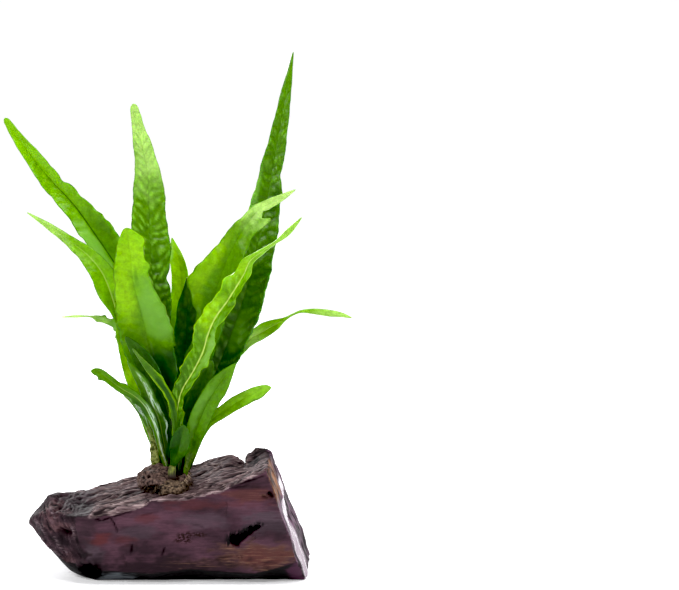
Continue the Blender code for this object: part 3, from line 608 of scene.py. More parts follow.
def white_room():
    """World that is white round the horizon, dimmer overhead and dimmest above the front."""
    world = bpy.data.worlds.new("studio")
    world.use_nodes = True
    tree = world.node_tree
    direction = add(tree, "TexCoord", output="Generated")
    height = add(tree, "SeparateXYZ", {0: direction}, output="Z")
    depth = add(tree, "SeparateXYZ", {0: direction}, output="Y")
    behind, before = (
        add(tree, "MapRange", {0: height, 1: HORIZON_TOP, 2: top, 3: HORIZON_LIGHT, 4: light})
        for top, light in ((BACKDROP_TOP, OVERHEAD_LIGHT), (FRONT_TOP, FRONT_LIGHT)))
    is_behind = add(tree, "MapRange", {0: depth, 1: FRONT_END, 2: BACK_START})
    strength = add(tree, "Mix", {0: is_behind, 2: before, 3: behind})
    feed(tree, tree.nodes["Background"], {"Color": "#fdfdfe", "Strength": strength})
    return world


def backlit_white_acrylic():
    """White acrylic sheet lit from below: matt and without a reflection, soft grey near the plant, where its
    shadow shows, and shadowless white farther out."""
    material, tree, shader = new_material("backlit_white_acrylic")
    place = add(tree, "TexCoord", output="Object")
    away = add(tree, "VectorMath", {0: place}, output="Value", operation="LENGTH")
    glow = add(tree, "MapRange", {0: away, 1: GLOW_START, 2: GLOW_FULL, 3: NEAR_GLOW, 4: FLOOR_GLOW})
    feed(tree, shader, {"Base Color": "#e0e0e2", "Roughness": 0.9, "Specular IOR Level": 0.0,
                        "Emission Color": "#ffffff", "Emission Strength": glow})
    return material


def studio():
    """White sweep and soft light: a white backdrop, a backlit floor, a key light at the left and softboxes
    above, right and behind."""
    scene = bpy.context.scene
    scene.view_settings.view_transform = "Standard"
    scene.view_settings.use_curve_mapping = True
    scene.view_settings.curve_mapping.black_level = (PRINT_BLACK, PRINT_BLACK, PRINT_BLACK)
    scene.view_settings.curve_mapping.update()
    scene.world = white_room()
    for name, place, size, power in SOFTBOXES:
        softbox(name, place, size, power)
    bpy.ops.mesh.primitive_plane_add(size=FLOOR_SIZE)
    floor = bpy.context.object
    floor.name = "floor"
    floor.data.materials.append(backlit_white_acrylic())


# Flesh of a young, a grown and an old leaf; a painted pale sheen for tips and patches; a painted lit patch;
# a pale midrib; and a painted highlight on the swellings between veins.
YOUNG, GROWN, OLD = linear("#6da302"), linear("#457203"), linear("#163d04")
PAINTED_PALE_SHEEN, PAINTED_LIGHT_GREEN, MIDRIB, CREST_HIGHLIGHT = linear("#a2c766"), linear("#79a803"), linear("#b7cb66"), linear("#8cc63c")


def leaf_colour(age):
    """Flesh colour at an age from 0, young, through 0.5, grown, to 1, old."""
    return between(YOUNG, GROWN, age * 2) if age < 0.5 else between(GROWN, OLD, age * 2 - 1)


def fern_leaf(plan):
    """Living fern blade under a thin waxy skin: light soaks through it, and the skin shines softly where it
    bends. Its flesh is paler at the tip, partly for its younger age and partly as painted sheen, and darker
    along the margin, but where the margin carries a painted highlight. Painted shade darkens it along the
    veins, on patches and at feet deep in the clump; painted light, sheen and highlights lie on other patches
    and on the swellings between veins."""
    material, tree, shader = new_material("fern_leaf_" + plan.name)
    foot_age, tip_age = plan.ages
    foot, low, high, tip = (leaf_colour(foot_age + (tip_age - foot_age) * t) for t in (0.0, 0.35, 0.85, 1.0))
    flesh_stops = ((0.1, foot), (0.38, low), (0.78, high), (0.94, between(tip, PAINTED_PALE_SHEEN, plan.pale)))
    field = {key: add(tree, "Attribute", output="Fac", attribute_name=key)
             for key in ("across", "share", "vein", "crest", *MARKS)}
    lengthwise = add(tree, "CombineXYZ", {"X": field["across"], "Y": field["share"]})
    lengthwise = add(tree, "Mapping", {"Vector": lengthwise, "Scale": (4.5, 13.0, 1.0)})
    field["streaks"] = add(tree, "TexNoise", {"Vector": lengthwise, "Scale": 1.0, "Detail": 5.0})
    field["cells"] = add(tree, "TexVoronoi", {"Vector": millimetres(tree), "Scale": 1 / 0.9})
    field["reach"] = add(tree, "Math", {0: field["across"]}, operation="ABSOLUTE")
    rib_edge = 0.09 if plan.rib > 0 else 0.06
    rib_stops = ((0.02, grey(abs(plan.rib))), (rib_edge, grey(0.0)))
    field["midrib"] = add(tree, "ValToRGB", {0: field["reach"]}, rib_stops)
    derive(tree, field, LEAF_PATTERNS, LEAF_SHARES, LEAF_PRODUCTS, LEAF_TONES)
    shifted = add(tree, "Math", {0: field["share"], 1: field["uneven"]}, operation="ADD")
    flesh = add(tree, "ValToRGB", {0: shifted}, flesh_stops)
    # Layers: painted light, painted shade, painted pale sheen and painted crest highlights, then painted
    # shade along the veins, the skin's grain and patches, the midrib, the margin, a painted grey-green sheen,
    # the olive stalk colour and a painted whitish highlight.
    flesh = layered(tree, field, flesh, (
        ("bright", PAINTED_LIGHT_GREEN), ("deep", OLD), ("pale", PAINTED_PALE_SHEEN), ("crest", CREST_HIGHLIGHT),
        (None, "shade"), (None, "grain"), (None, "patchy"),
        ("rib", MIDRIB if plan.rib > 0 else OLD), ("rim", PAINTED_LIGHT_GREEN if plan.name in BRIGHT_EDGED else OLD),
        ("painted_sheen", "#5f8f30"), ("olive", "husk"), ("gleam", "#b9cfbb")))
    # Painted shade: the foot of a frond deep in the clump turns near black.
    if plan.name not in LIT_FEET:
        flesh = layered(tree, field, flesh, (("foot", "#040a02"),))
    bump = add(tree, "Bump", {"Height": field["cells"], "Strength": 0.4, "Distance": 0.16 * MM})
    feed(tree, shader, {"Base Color": flesh, "Roughness": field["skin"], "Normal": bump, "IOR": 1.45,
                        "Specular IOR Level": 0.16, "Subsurface Weight": 0.25,
                        "Subsurface Radius": (0.5, 1.0, 0.1), "Subsurface Scale": 0.8 * MM})
    return material


def smooth_rows(knots, rows, at):
    """Rows at distances along the smooth curve through all rows, whose own distances are the knots."""
    i = np.clip(np.searchsorted(knots, at) - 1, 0, len(rows) - 2)
    steps = np.diff(knots)
    slopes = np.diff(rows, axis=0) / steps[:, None]
    bends = np.vstack([slopes[:1], (slopes[:-1] + slopes[1:]) / 2, slopes[-1:]])
    t = ((at - knots[i]) / steps[i])[:, None]
    step = steps[i][:, None]
    start = rows[i] * (1 + 2 * t) * (1 - t) ** 2 + bends[i] * step * t * (1 - t) ** 2
    end = rows[i + 1] * (3 - 2 * t) * t ** 2 - bends[i + 1] * step * (1 - t) * t ** 2
    return start + end


def rooted_route(route):
    """Rows of a frond's route with its foot carried on into the rhizome, and each row's distance along it."""
    rows = np.array([(*row, 0.0)[:5] for row in route], dtype=float)
    away = rows[0, :3] - rows[1, :3]
    foot = rows[0].copy()
    foot[:3] += away / np.linalg.norm(away) * FOOT_DEPTH
    rows = np.vstack([foot, rows])
    steps = np.linalg.norm(np.diff(rows[:, :3], axis=0), axis=1)
    return rows, np.concatenate([[0.0], np.cumsum(steps)])


def blade_rings(route):
    """Distances of a frond's rings along its midrib, closer at the rounded tip, their rows and its length."""
    rows, knots = rooted_route(route)
    length = knots[-1]
    tip_round = 1.3 * rows[-1, 3] + 0.6
    at = np.linspace(0.0, length - tip_round, max(int(length / RING_SPACING), 24))
    at = np.append(at, length - tip_round * (1.0 - np.sin(np.linspace(0.0, pi / 2, 8)[1:])))
    rings = smooth_rows(knots, rows, at)
    rounding = np.sqrt(1.0 - (1.0 - ramp(length - at, 0.0, tip_round)) ** 2)
    rings[:, 3] = np.maximum(rings[:, 3] * rounding, TIP_HALF_WIDTH / 2)
    return at, rings, length


def blade_columns():
    """Places across a ring, from 1 at its right edge to -1 and back behind, and 1 or -1 for front or back."""
    out = np.linspace(0.0, 1.0, HALF_COLUMNS) ** 1.25
    front = np.concatenate([out[::-1], -out[1:]])
    back = front[-2:0:-1]
    return np.concatenate([front, back]), np.concatenate([np.ones(len(front)), -np.ones(len(back))])


def unit(vectors):
    return vectors / np.maximum(np.linalg.norm(vectors, axis=-1, keepdims=True), 1e-9)


def blade_axes(centres, at, roll_degrees):
    """Directions along and across the blade and out of its face, which looks forward but for the roll."""
    along = unit(np.gradient(centres, at, axis=0))
    front = np.array([0.0, -1.0, 0.0])
    face = unit(front - along * (along @ front)[:, None])
    side = np.cross(along, face)
    roll = np.radians(roll_degrees)[:, None]
    return along, side * np.cos(roll) - face * np.sin(roll), face * np.cos(roll) + side * np.sin(roll)


def edge_widths(plan, half_width, at, across, heights, seed):
    """Half width and forward sweep at every ring and column. Each edge has its own waves and lobes."""
    widths = []
    sweeps = []
    for side in (-1, 1):
        waves = 0.07 * noise_over(at / 9.0, (seed + side) * 7.31, (seed + side) * 1.7)
        waves = waves + 0.05 * noise_over(at / 3.2, (seed + 5 + side) * 7.31, (seed + 5 + side) * 1.7)
        width = half_width * (1.0 + waves * (0.6 + 0.8 * plan.ruffle))
        sweep = np.zeros_like(width)
        for lobe_side, height, length, reach, *forward in plan.lobes:
            if lobe_side == side:
                bell = np.exp(-((at - np.interp(height, heights, at)) / length) ** 2)
                width = width + reach * bell
                sweep = sweep + sum(forward) * bell
        widths.append(np.maximum(width, TIP_HALF_WIDTH / 2)[:, None])
        sweeps.append(sweep[:, None])
    width, sweep = (np.where(across > 0, right, left) for left, right in (widths, sweeps))
    return width, sweep * across ** 2


def soft_marks(plan, at, across, heights, seed):
    """Strength of a frond's marks by kind, at every ring and column, with uneven borders. Most kinds are
    painted light, sheen or shade.
    """
    uneven = noise_over(at[:, None] / 7.0, across * 1.6, seed * 2.3)
    strengths = {kind: np.zeros_like(uneven) for kind in MARKS}
    for kind, place, height, reach_across, reach_along, strongest in plan.marks:
        along = (at - np.interp(height, heights, at)) / reach_along
        distance = np.hypot((across - place) / reach_across, along[:, None]) + 0.5 * uneven
        half = ease(across * np.sign(place), -0.04, 0.08) if abs(place) >= 0.3 else 1.0
        strength = strongest * half * (1.0 - ease(distance, 0.4, 1.3))
        strengths[kind] = np.maximum(strengths[kind], strength)
    return strengths


def quilting(at, across, width, seed):
    """Height of the swellings between the side veins, from 0 at a vein to 1, at every ring and column."""
    reach = np.abs(across)
    distance = reach * width
    along = at[:, None] - 0.35 * distance - 0.45 * distance * reach
    jitter = noise_over(at[:, None] / 13.0, across * 1.3, seed * 3.7)
    phase = along / VEIN_SPACING + 0.9 * jitter + 0.5 * (across < 0)
    cross = np.abs(np.sin(pi * (reach * 2.2 + 0.5 * np.sin(phase * 2.4 + seed)))) ** 0.5
    return np.abs(np.sin(pi * phase)) ** 0.6 * (0.55 + 0.45 * cross)


def blade_thickness(across, facing, width, stalk, near_tip):
    """Half thickness from round stalk to thin blade, whose midrib is sunk in front and raised behind."""
    reach = np.abs(across)
    round_part = np.sqrt(1.0 - reach ** 2) * STALK_RADIUS
    thin_part = BLADE_HALF_THICKNESS * (1.0 - reach ** 6) + EDGE_HALF_THICKNESS
    middle = np.exp(-(reach * width / MIDRIB_WIDTH) ** 2) * near_tip
    rib = np.where(facing > 0, -MIDRIB_SUNK, MIDRIB_RAISED) * middle * (1.0 - stalk)
    return (round_part * stalk + thin_part * (1.0 - stalk)) * (0.3 + 0.7 * near_tip) + rib


def frond(plan, seed):
    """One blade on its round stalk: folded at the midrib, ruffled, quilted between its veins and thin at the
    edges. It is a closed loft of rings, whose first columns are the front and the rest the back."""
    at, rings, length = blade_rings(plan.route)
    centres, half_width = rings[:, :3], rings[:, 3]
    along, side, face = blade_axes(centres, at, rings[:, 4])
    heights = np.maximum.accumulate(centres[:, 2])
    across, facing = blade_columns()
    reach = np.abs(across)
    width, sweep = edge_widths(plan, half_width, at, across, heights, seed)
    blade = ramp(half_width, FOLD_START, BLADE_HALF_WIDTH)[:, None]
    stalk = 1.0 - ramp(half_width, STALK_RADIUS, BLADE_HALF_WIDTH)[:, None]
    near_tip = ramp(length - at, 0.0, TIP_THINNING)[:, None]
    fold = radians(plan.fold)
    lag = np.where(across < 0, LEFT_RUFFLE_LAG, 0.0)
    turns = 2 * pi * at[:, None]
    ruffle = plan.ruffle * blade * reach ** 2 * np.sin(turns / RUFFLE_LENGTH + lag)
    frill = 0.45 * plan.ruffle * blade * reach ** 4 * np.sin(turns / FRILL_LENGTH + 2.4 * lag + seed)
    swelling = quilting(at, across, width, seed)
    quilt = 0.95 * plan.quilt * blade * (swelling - 0.6) * np.sin(pi * np.minimum(reach, 0.97)) ** 0.6
    beside = across * half_width[:, None]
    puckers = noise_over(at[:, None] / PUCKER_LENGTH, beside / PUCKER_LENGTH, seed * 5.1)
    quilt = quilt + 0.42 * blade * puckers * np.minimum(reach * 4.0, 1.0)
    thickness = blade_thickness(across, facing, width, stalk, near_tip)
    rise = reach * width * sin(fold) * blade + ruffle + frill + quilt + facing * thickness
    span = across * width * (1.0 - (1.0 - cos(fold)) * blade)
    points = centres[:, None] + side[:, None] * span[..., None] + face[:, None] * rise[..., None]
    points = points + along[:, None] * (sweep * blade)[..., None]
    # crest is a painted highlight on the tops of the swellings, and vein the painted shade in the valleys
    # between them.
    crest = ease(swelling, 0.7, 1.0) * ease(puckers, -0.4, 0.3) * blade * 0.17 * plan.quilt ** 2
    attributes = {"across": np.broadcast_to(across, width.shape), "crest": crest,
                  "share": np.broadcast_to(at[:, None] / length, width.shape),
                  "vein": (1.0 - swelling) * blade * (0.4 + 0.2 * plan.quilt),
                  **soft_marks(plan, at, across, heights, seed)}
    piece = new_piece("leaf_" + plan.name, points.reshape(-1, 3), loft_faces(len(at), len(across)),
                      fern_leaf(plan), attributes)
    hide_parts(plan.name)


def fine_copy(node, face_size, softening):
    """Points and normals in millimetres, and faces, of a CAD node's form in even small faces."""
    copy = bpy.data.objects.new("fine_copy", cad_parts[node].data.copy())
    bpy.context.scene.collection.objects.link(copy)
    remesh = copy.modifiers.new("even_faces", "REMESH")
    remesh.mode = "VOXEL"
    remesh.voxel_size = face_size * MM
    soften = copy.modifiers.new("soften", "SMOOTH")
    soften.factor = 0.5
    soften.iterations = softening
    evaluated = copy.evaluated_get(bpy.context.evaluated_depsgraph_get())
    mesh = bpy.data.meshes.new_from_object(evaluated)
    points = np.empty(len(mesh.vertices) * 3)
    mesh.vertices.foreach_get("co", points)
    normals = np.array([v.normal[:] for v in mesh.vertices])
    faces = [tuple(p.vertices) for p in mesh.polygons]
    bpy.data.objects.remove(copy)
    bpy.data.meshes.remove(mesh)
    return points.reshape(-1, 3) / MM, normals, faces


def ovals(x, z, rows, start, end, uneven=0.0):
    """Strength of the strongest of several soft ovals at each place. A row has the x and z of an oval's
    middle, its half width and half height, and its strength, which fades from start to end of its size."""
    strength = np.zeros(len(x))
    for middle_x, middle_z, half_width, half_height, strongest in rows:
        away = np.hypot((x - middle_x) / half_width, (z - middle_z) / half_height)
        strength = np.maximum(strength, strongest * (1.0 - ease(away + uneven, start, end)))
    return strength


def grooves(points, rows):
    """Depth of the deepest of several wandering grooves, seen from the front, at each point."""
    deepest = np.zeros(len(points))
    for start_x, start_z, end_x, end_z, width, depth in rows:
        start = np.array([start_x, start_z])
        step = np.array([end_x, end_z]) - start
        flat = points[:, [0, 2]] + 0.5 * noise_at(points, 2.6, start_x)[:, None]
        t = np.clip((flat - start) @ step / (step @ step), 0.0, 1.0)
        away = np.linalg.norm(flat - start - t[:, None] * step, axis=1)
        fading = np.sqrt(np.maximum(1.0 - np.abs(2 * t - 1) ** 3, 0.0))
        deepest = np.maximum(deepest, depth * np.exp(-(away / width) ** 2) * fading)
    return deepest


def knot_hole(points):
    """Share of each point in the comet-shaped knot hole, whether it is near it, and torn fibres above it."""
    x = points[:, 0] - KNOT[0]
    z = points[:, 2] - KNOT[1]
    along = x * cos(KNOT_TURN) + z * sin(KNOT_TURN)
    across = z * cos(KNOT_TURN) - x * sin(KNOT_TURN)
    half_width = KNOT_RADIUS * (1.0 - 0.97 * ramp(along, 0.0, KNOT_TAIL) ** 0.5)
    distance = np.hypot(np.minimum(along, 0.0), across) - half_width + np.maximum(along - KNOT_TAIL, 0.0)
    fibres = noise_over((along - 0.4 * across) / 1.5, across / 6.0, 4.0)
    torn = 0.3 + 2.6 * ease(across, -0.3, 1.5)
    in_front = points[:, 1] < -18.0
    core = (1.0 - ease(distance + torn * fibres, -0.6, 0.6)) * in_front
    hairs = (1.0 - ease(distance, 1.2, 3.6)) * ease(across, -1.0, 0.4) * in_front
    return core, (distance < KNOT_MARGIN) * in_front, hairs


def wood_masks(points, normals):
    """Share of each point in the sawn front, broken right end, underside and upper rim of the front."""
    x, y, z = points.T
    left = SAWN_LEFT + 0.25 * (30.0 - z)
    facing = ease(-normals[:, 1], 0.6, 0.9)
    sawn = facing * ease(x + noises(points, SAWN_EDGE), left - 1.5, left)
    sawn = sawn * ease(-y, -SAWN_FRONT - 2, -SAWN_FRONT)
    end = ease(normals[:, 0], 0.45, 0.8) * ease(x, END_START, END_START + 4)
    # The recess of the undercut, with all faces that look down, takes near-black painted shade.
    recess = facing * (y > SAWN_FRONT - 2) * (y < 0) * (z < UNDERCUT_TOP)
    under = np.maximum(ease(-normals[:, 2], 0.25, 0.5), recess)
    rim = ease(-normals[:, 1], 0.2, 0.45) * ease(normals[:, 2], 0.2, 0.45)
    rim = rim * (y < -20.0) * ease(z, 30.0, 33.0) * ease(x, KNOB_END - 6, KNOB_END)
    return sawn, end, under, rim * (0.35 + 0.65 * ease(x, KNOB_END + 4, KNOB_END + 26))


def knob_mask(points):
    """Share of each point in the worn left knob, which reaches farther right below than at the top."""
    place = points[:, 0] + 6.0 * ease(points[:, 2], 34.0, 39.0)
    return 1.0 - ease(place + 3.0 * noise_at(points, 5.0, 17.0), KNOB_END - 6, KNOB_END)


def weathering(points, knob):
    """Height of the wood's weathered sides, and of their ridges alone: furrows along the grain, with sharp
    ridges and narrow cracks. The grain turns down round the left knob, which is worn smoother."""
    x = points[:, 0]
    level = points.copy()
    level[:, 1] -= GRAIN_SHEAR * x
    turned = 1.0 - ease(x, KNOB_END - 20, KNOB_END - 4)
    level[:, 2] -= GRAIN_SLOPE * x + (KNOB_SLOPE - GRAIN_SLOPE) * (x - KNOB_END) * turned
    bent = level + 1.2 * noise_at(points, 14.0, 1.0)[:, None]
    coarse = 1.0 - 2.4 * np.abs(noise_at(bent, (40.0, 5.4, 3.6), 2.0))
    fine = 1.0 - 2.6 * np.abs(noise_at(bent, (19.0, 2.1, 1.4), 3.0))
    crack = np.exp(-(noise_at(bent, (34.0, 8.0, 5.5), 5.0) / 0.04) ** 2)
    ropy = 1.0 + 0.4 * (1.0 - ease(x, ROPY_END - 8, ROPY_END))
    ropy = ropy * (1.0 - 0.7 * knob) * (1.0 - 0.5 * ease(x, END_START - 2, END_START + 6))
    swell = (0.7 + 1.2 * knob) * noise_at(points, (13, 10, 8), 6.0)
    return ropy * (0.75 * coarse + 0.4 * fine - 1.2 * crack) + swell, 0.5 * coarse + 0.5 * fine


def end_strip(points):
    """Share of each point in the polished strip down the broken end, which lies farther back at its top. The
    strip is also painted paler, a painted highlight.
    """
    middle = -14.0 + 21.0 * ease(points[:, 2], 31.0, 42.0)
    across = np.abs(points[:, 1] - middle) / 9.0 + 0.8 * noise_at(points, (8, 5, 9), 15.0)
    return (1.0 - ease(across, 0.7, 1.1)) * (1.0 - ease(points[:, 2], 43.0, 47.0))


def worn_block():
    """Points, normals and faces of the wood's form, with its left knob worn round."""
    points, normals, faces = fine_copy("driftwood", WOOD_FACE, 4)
    worn_points, worn_normals, _ = fine_copy("driftwood", WOOD_FACE, KNOB_WEAR)
    knob = knob_mask(points)[:, None]
    return points * (1.0 - knob) + worn_points * knob, normals * (1.0 - knob) + worn_normals * knob, faces


def driftwood():
    """Block of dark driftwood: a smooth sawn front, a furrowed top and back and a broken right end."""
    points, normals, faces = worn_block()
    x, y, z = points.T
    sawn, end, under, rim = wood_masks(points, normals)
    knob = knob_mask(points)
    rough, ridge = weathering(points, knob)
    rim_rows = [(left, height - RIM_SLOPE * left, *size, 1.0) for left, height, *size in OLD_RIM]
    old_rim = ovals(x, z - RIM_SLOPE * x, rim_rows, 0.85, 1.05)
    sawn = sawn * (1.0 - old_rim)
    weathered = np.clip(1.0 - sawn - end - under, 0.0, 1.0)
    checks = grooves(points, CHECKS)
    crevices = grooves(points, CREVICES) * (y < 0.0)
    streaks = grooves(points, STREAKS) * (y < -5.0) * (1.0 - sawn)
    knot, near_knot, hairs = knot_hole(points)
    strip = end_strip(points)
    saw_marks = noises(points, SAW_MARKS)
    split = noises(points, SPLITS) * (1.0 - 0.85 * strip)
    chips = rim * np.minimum(noise_at(points, (5, 3, 3), 14.0), 0.1) * 1.8
    depth = weathered * (rough - crevices + 0.6 * streaks) + sawn * (saw_marks - checks) + end * split + chips
    depth = np.where(z < 0.6, np.minimum(depth, 0.0) * 0.3, depth)
    moved = points + normals * (depth * (1.0 - under * 0.8))[:, None]
    moved[:, 1] = np.where(near_knot, SAWN_PLANE + KNOT_DEPTH * knot, moved[:, 1])
    moved[:, 1] = np.minimum(moved[:, 1], cad_high[1] / MM)
    moved[:, 2] = np.maximum(moved[:, 2], 0.0)
    # Painted shade: hollow turns the weathered furrows, the checks, the crevices and the knot hole near
    # black, and the spot at the lower left too.
    dark_spot_reach = np.linalg.norm((points - DARK_SPOT) / DARK_SPOT_SIZE, axis=1) + 0.3 * noise_at(points, 2.0)
    hollow = np.clip(-rough * 0.5, 0.0, 0.9) * weathered + np.clip(checks, 0.0, 0.9) * sawn
    for deep in (1.0 - ease(dark_spot_reach, 0.7, 1.1), ease(knot, 0.1, 0.8), ramp(crevices, 0.0, 2.5)):
        hollow = np.maximum(hollow, deep)
    sawn = np.maximum(sawn, near_knot)
    dusky = np.maximum(knob, 0.4 * (1.0 - ease(x, KNOB_END - 6, KNOB_END + 6)))
    dusky = np.maximum(dusky, 0.35 * ease(x, 12.0, 30.0))
    rim = np.maximum(rim, 0.35 * old_rim * (y < -25.0)) * (1.0 - hollow)
    attributes = {"sawn": sawn, "end": end, "under": under, "hollow": hollow, "strip": strip, "knob": dusky,
                  "hairs": hairs, "streaks": streaks, "rim": rim, "ridge": ridge}
    uneven = noises(points, PATCH_EDGES)
    for kind, rows in STAINS_SHEEN_AND_SHADE.items():
        place = under if kind in UNDERCUT_SHADE_AND_STAIN else sawn
        attributes[kind] = ovals(x, z, rows, 0.5, 1.25, 0.7 * uneven) * place
    piece = new_piece("driftwood_block", moved, faces, dark_driftwood(attributes), attributes)
    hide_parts("driftwood")
    return BVHTree.FromPolygons(moved.tolist(), faces)


def dark_driftwood(masks):
    """Heavy dark root wood. The sawn front has been rubbed smooth and shines a little over purple, red and
    brown grain, with patches of painted grey sheen. The old surface is dry, grey on its ridges and nearly
    black in its furrows, smoother and redder on the knob, whose ridges carry a painted highlight. Painted
    shade turns its hollows, underside and undercut near black. The broken end has orange fibres at its top,
    and a wet-looking strip that mirrors the light and is painted paler as a highlight."""
    material, tree, shader = new_material("dark_driftwood")
    field = {key: add(tree, "Attribute", output="Fac", attribute_name=key) for key in masks}
    derive(tree, field, WOOD_PATTERNS, WOOD_SHARES, WOOD_PRODUCTS, WOOD_TONES)
    for name, base, *layers in WOOD_LAYERS:
        field[name] = layered(tree, field, base, layers)
    gloss = layered(tree, field, grey(0.75), (
        ("knob", grey(0.65)), ("sawn", "polish"), ("end", grey(0.5)), ("wet", grey(0.12)),
        ("hollow", grey(1.0))))
    relief = layered(tree, field, "fibres", (("sawn", "grain"),))
    bump = add(tree, "Bump", {"Height": relief, "Strength": 0.4, "Distance": 0.25 * MM})
    feed(tree, shader, {"Base Color": field["colour"], "Roughness": gloss, "Normal": bump, "IOR": 1.45,
                        "Specular IOR Level": 0.15})
    return material


def fern_bark(name, dark, light):
    """Dry scaly skin of a fern's creeping stem: matt, with paler and darker scales. It darkens towards near
    black
    as its hollow share rises: painted shade in the pits and folds of the rhizome and the mat, and a darkness
    of its own on each loose root. Where its hollow is below 0 it is dry and straw-coloured."""
    material, tree, shader = new_material(name)
    field = {"hollow": add(tree, "Attribute", output="Fac", attribute_name="hollow")}
    derive(tree, field, patterns=(("scales", (1.3, 1.3, 1.3), 5.0, 0.65),),
           shares=(("dry", "hollow", 0.0, -1.25),), tones=(("skin", "scales", (0.38, dark), (0.64, light)),))
    colour = layered(tree, field, "skin", (("dry", "#ab957c"), ("hollow", "#120c0a")))
    bump = add(tree, "Bump", {"Height": field["scales"], "Strength": 0.7, "Distance": 0.4 * MM})
    feed(tree, shader, {"Base Color": colour, "Normal": bump, "Roughness": 0.85, "IOR": 1.45,
                        "Specular IOR Level": 0.3})
    return material


def pitted(points):
    """Depth of the pits and folds at each point."""
    x, z = (points[:, [0, 2]] + 0.3 * noise_at(points, 1.2, 7.0)[:, None]).T
    return ovals(x, z, PITS, 0.5, 1.3) * (points[:, 1] < -6.0)


def rhizome():
    """Knobbly creeping stem: scaly swellings with deep pits where old stalks have dropped off."""
    points, normals, faces = fine_copy("rhizome", RHIZOME_FACE, 3)
    knobs = noise_at(points, (4.0, 4.0, 3.4), 1.0)
    folds = 1.0 - 2.4 * np.abs(noise_at(points + 0.8 * knobs[:, None], (3.4, 2.2, 1.3), 2.0))
    pits = pitted(points)
    moved = points + normals * (0.8 * knobs + 0.3 * folds - pits)[:, None]
    # Painted shade: hollow darkens the pits, the deep folds and the dips between knobs.
    hollow = np.clip(pits + np.clip(-folds, 0.0, 1.0) * 0.5 + np.clip(-knobs, 0.0, 1.0) * 0.4, 0.0, 1.0)
    piece = new_piece("creeping_rhizome", moved, faces, fern_bark("rhizome_bark", "#1c1213", "#6e5850"),
                      {"hollow": hollow})
    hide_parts("rhizome")


def tube(path, radius, sides=5):
    """Points and faces of a thin tapering tube along a path."""
    path = np.array(path)
    along = unit(np.gradient(path, axis=0))
    side = unit(np.cross(along, [0.31, -0.2, 0.93]))
    face = np.cross(along, side)
    turn = 2 * pi * np.arange(sides) / sides
    taper = radius * (1.0 - 0.7 * np.linspace(0.0, 1.0, len(path)) ** 2)
    ring = side[:, None] * np.cos(turn)[None, :, None] + face[:, None] * np.sin(turn)[None, :, None]
    return (path[:, None] + ring * taper[:, None, None]).reshape(-1, 3), loft_faces(len(path), sides)


def crept(wood, start, heading, length, wander, drop):
    """Path of a root that wanders off from its start and never sinks into the wood."""
    path = []
    here = start
    for _ in range(ROOT_STEPS + 1):
        path.append(here[:])
        heading = (heading + wander() + Vector((0.0, 0.0, -drop))).normalized()
        there = here + heading * (length / ROOT_STEPS)
        spot, normal, _, _ = wood.find_nearest(there)
        if (there - spot).dot(normal) < ROOT_CLEARANCE:
            there = spot + normal * ROOT_CLEARANCE
        here = there
    return path


def root_paths(wood):
    """Path, radius and darkness of each loose root round the mat and each stub of the comb."""
    rng = np.random.default_rng(11)
    paths = []
    for _ in range(LOOSE_ROOTS):
        angle = radians(rng.uniform(-200, 20))
        out = Vector((cos(angle), sin(angle), 0.0))
        start = MAT_MIDDLE + Vector((out.x * 9.5, out.y * 12.0, rng.uniform(-1.5, 0.5)))
        path = crept(wood, start, out, rng.uniform(3.0, 8.0), lambda: Vector(rng.normal(0.0, 0.35, 3)), 0.25)
        paths.append((path, rng.uniform(0.16, 0.34), rng.uniform(0.1, 0.45)))
    for k in range(COMB_STUBS):
        t = (k + rng.uniform(-0.3, 0.3)) / COMB_STUBS
        start = COMB_TOP.lerp(COMB_FOOT, t) + COMB_BULGE * sin(pi * t)
        out = Vector((0.9 - 0.6 * t, -0.5, -0.5 - 0.3 * t))
        path = crept(wood, start, out, rng.uniform(2.2, 3.6), lambda: Vector(rng.normal(0.0, 0.1, 3)), 0.1)
        paths.append((path, rng.uniform(0.17, 0.27), rng.uniform(-1.0, 0.5)))
    return paths


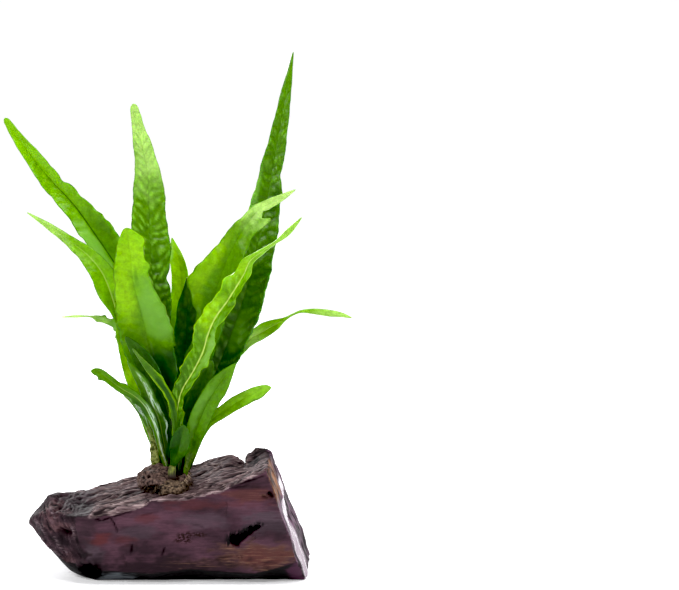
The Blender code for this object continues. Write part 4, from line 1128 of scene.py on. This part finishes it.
def roots(wood):
    """Root mat: a pad of matted roots over the wood's rim, with fine roots that creep out of it and a comb of
    short pale stubs along its lower right edge."""
    points, normals, faces = fine_copy("root_mat", MAT_FACE, 2)
    points[:, 0] -= 0.55 * np.maximum(points[:, 0] - MAT_RIGHT, 0.0)
    matted = 1.0 - 2.4 * np.abs(noise_at(points, (2.6, 1.6, 1.1), 1.0))
    pits = pitted(points)
    vertices = [points + normals * (0.35 * matted - pits)[:, None]]
    # Painted shade: hollow darkens the creases and pits of the mat.
    hollows = [np.clip(0.4 - matted + pits, 0.0, 1.0)]
    offset = len(points)
    for path, radius, dark in root_paths(wood):
        shape, skin = tube(path, radius)
        vertices.append(shape)
        hollows.append(np.full(len(shape), dark))
        faces += [tuple(v + offset for v in face) for face in skin]
        offset += len(shape)
    bark = fern_bark("dry_roots", "#1d1411", "#76624f")
    piece = new_piece("matted_roots", np.vstack(vertices), faces, bark,
                      {"hollow": np.concatenate(hollows)})
    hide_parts("root_mat")


def dead_stalk():
    """Dead fern stalk: olive in upright streaks, half matt, and darker at its foot."""
    material, tree, shader = new_material("dead_stalk")
    field = {}
    derive(tree, field, patterns=(("streaks", (1.0, 1.0, 3.0), 4.0, 0.5),),
           shares=(("foot", "Z", 53.5, 51.0),),
           tones=(("skin", "streaks", (0.35, "#33361a"), (0.65, "#717b30")),))
    colour = layered(tree, field, "skin", (("foot", "#2a1f1b"),))
    feed(tree, shader, {"Base Color": colour, "Roughness": 0.6, "Specular IOR Level": 0.3})
    return material


def stalk_stub():
    """Olive stump of a cut stalk, swollen at its foot, with a torn top."""
    low, high = (np.array(corner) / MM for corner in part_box("stalk_stub"))
    middle = (low + high) / 2
    rings = np.linspace(low[2] - 1.0, high[2], 22)
    turn = 2 * pi * np.arange(20) / 20
    points = []
    for z in rings:
        t = (z - low[2]) / (high[2] - low[2])
        lean = (0.5 - t) * 0.9
        for a in turn:
            radius = 1.65 + 0.3 * sin(pi * max(t, 0.0)) + 0.12 * sin(5 * a) + 0.15 * sin(9 * t + a)
            torn = 0.5 * sin(3 * a + 1) * ramp(t, 0.85, 1.0)
            points.append((middle[0] + cos(a) * radius, middle[1] + lean + sin(a) * radius, z + torn))
    piece = new_piece("cut_stalk", points, loft_faces(len(rings), len(turn)), dead_stalk())
    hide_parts("stalk_stub")


camera()
studio()
wood_surface = driftwood()
rhizome()
roots(wood_surface)
stalk_stub()
for number, frond_plan in enumerate(FRONDS):
    frond(frond_plan, number + 1)
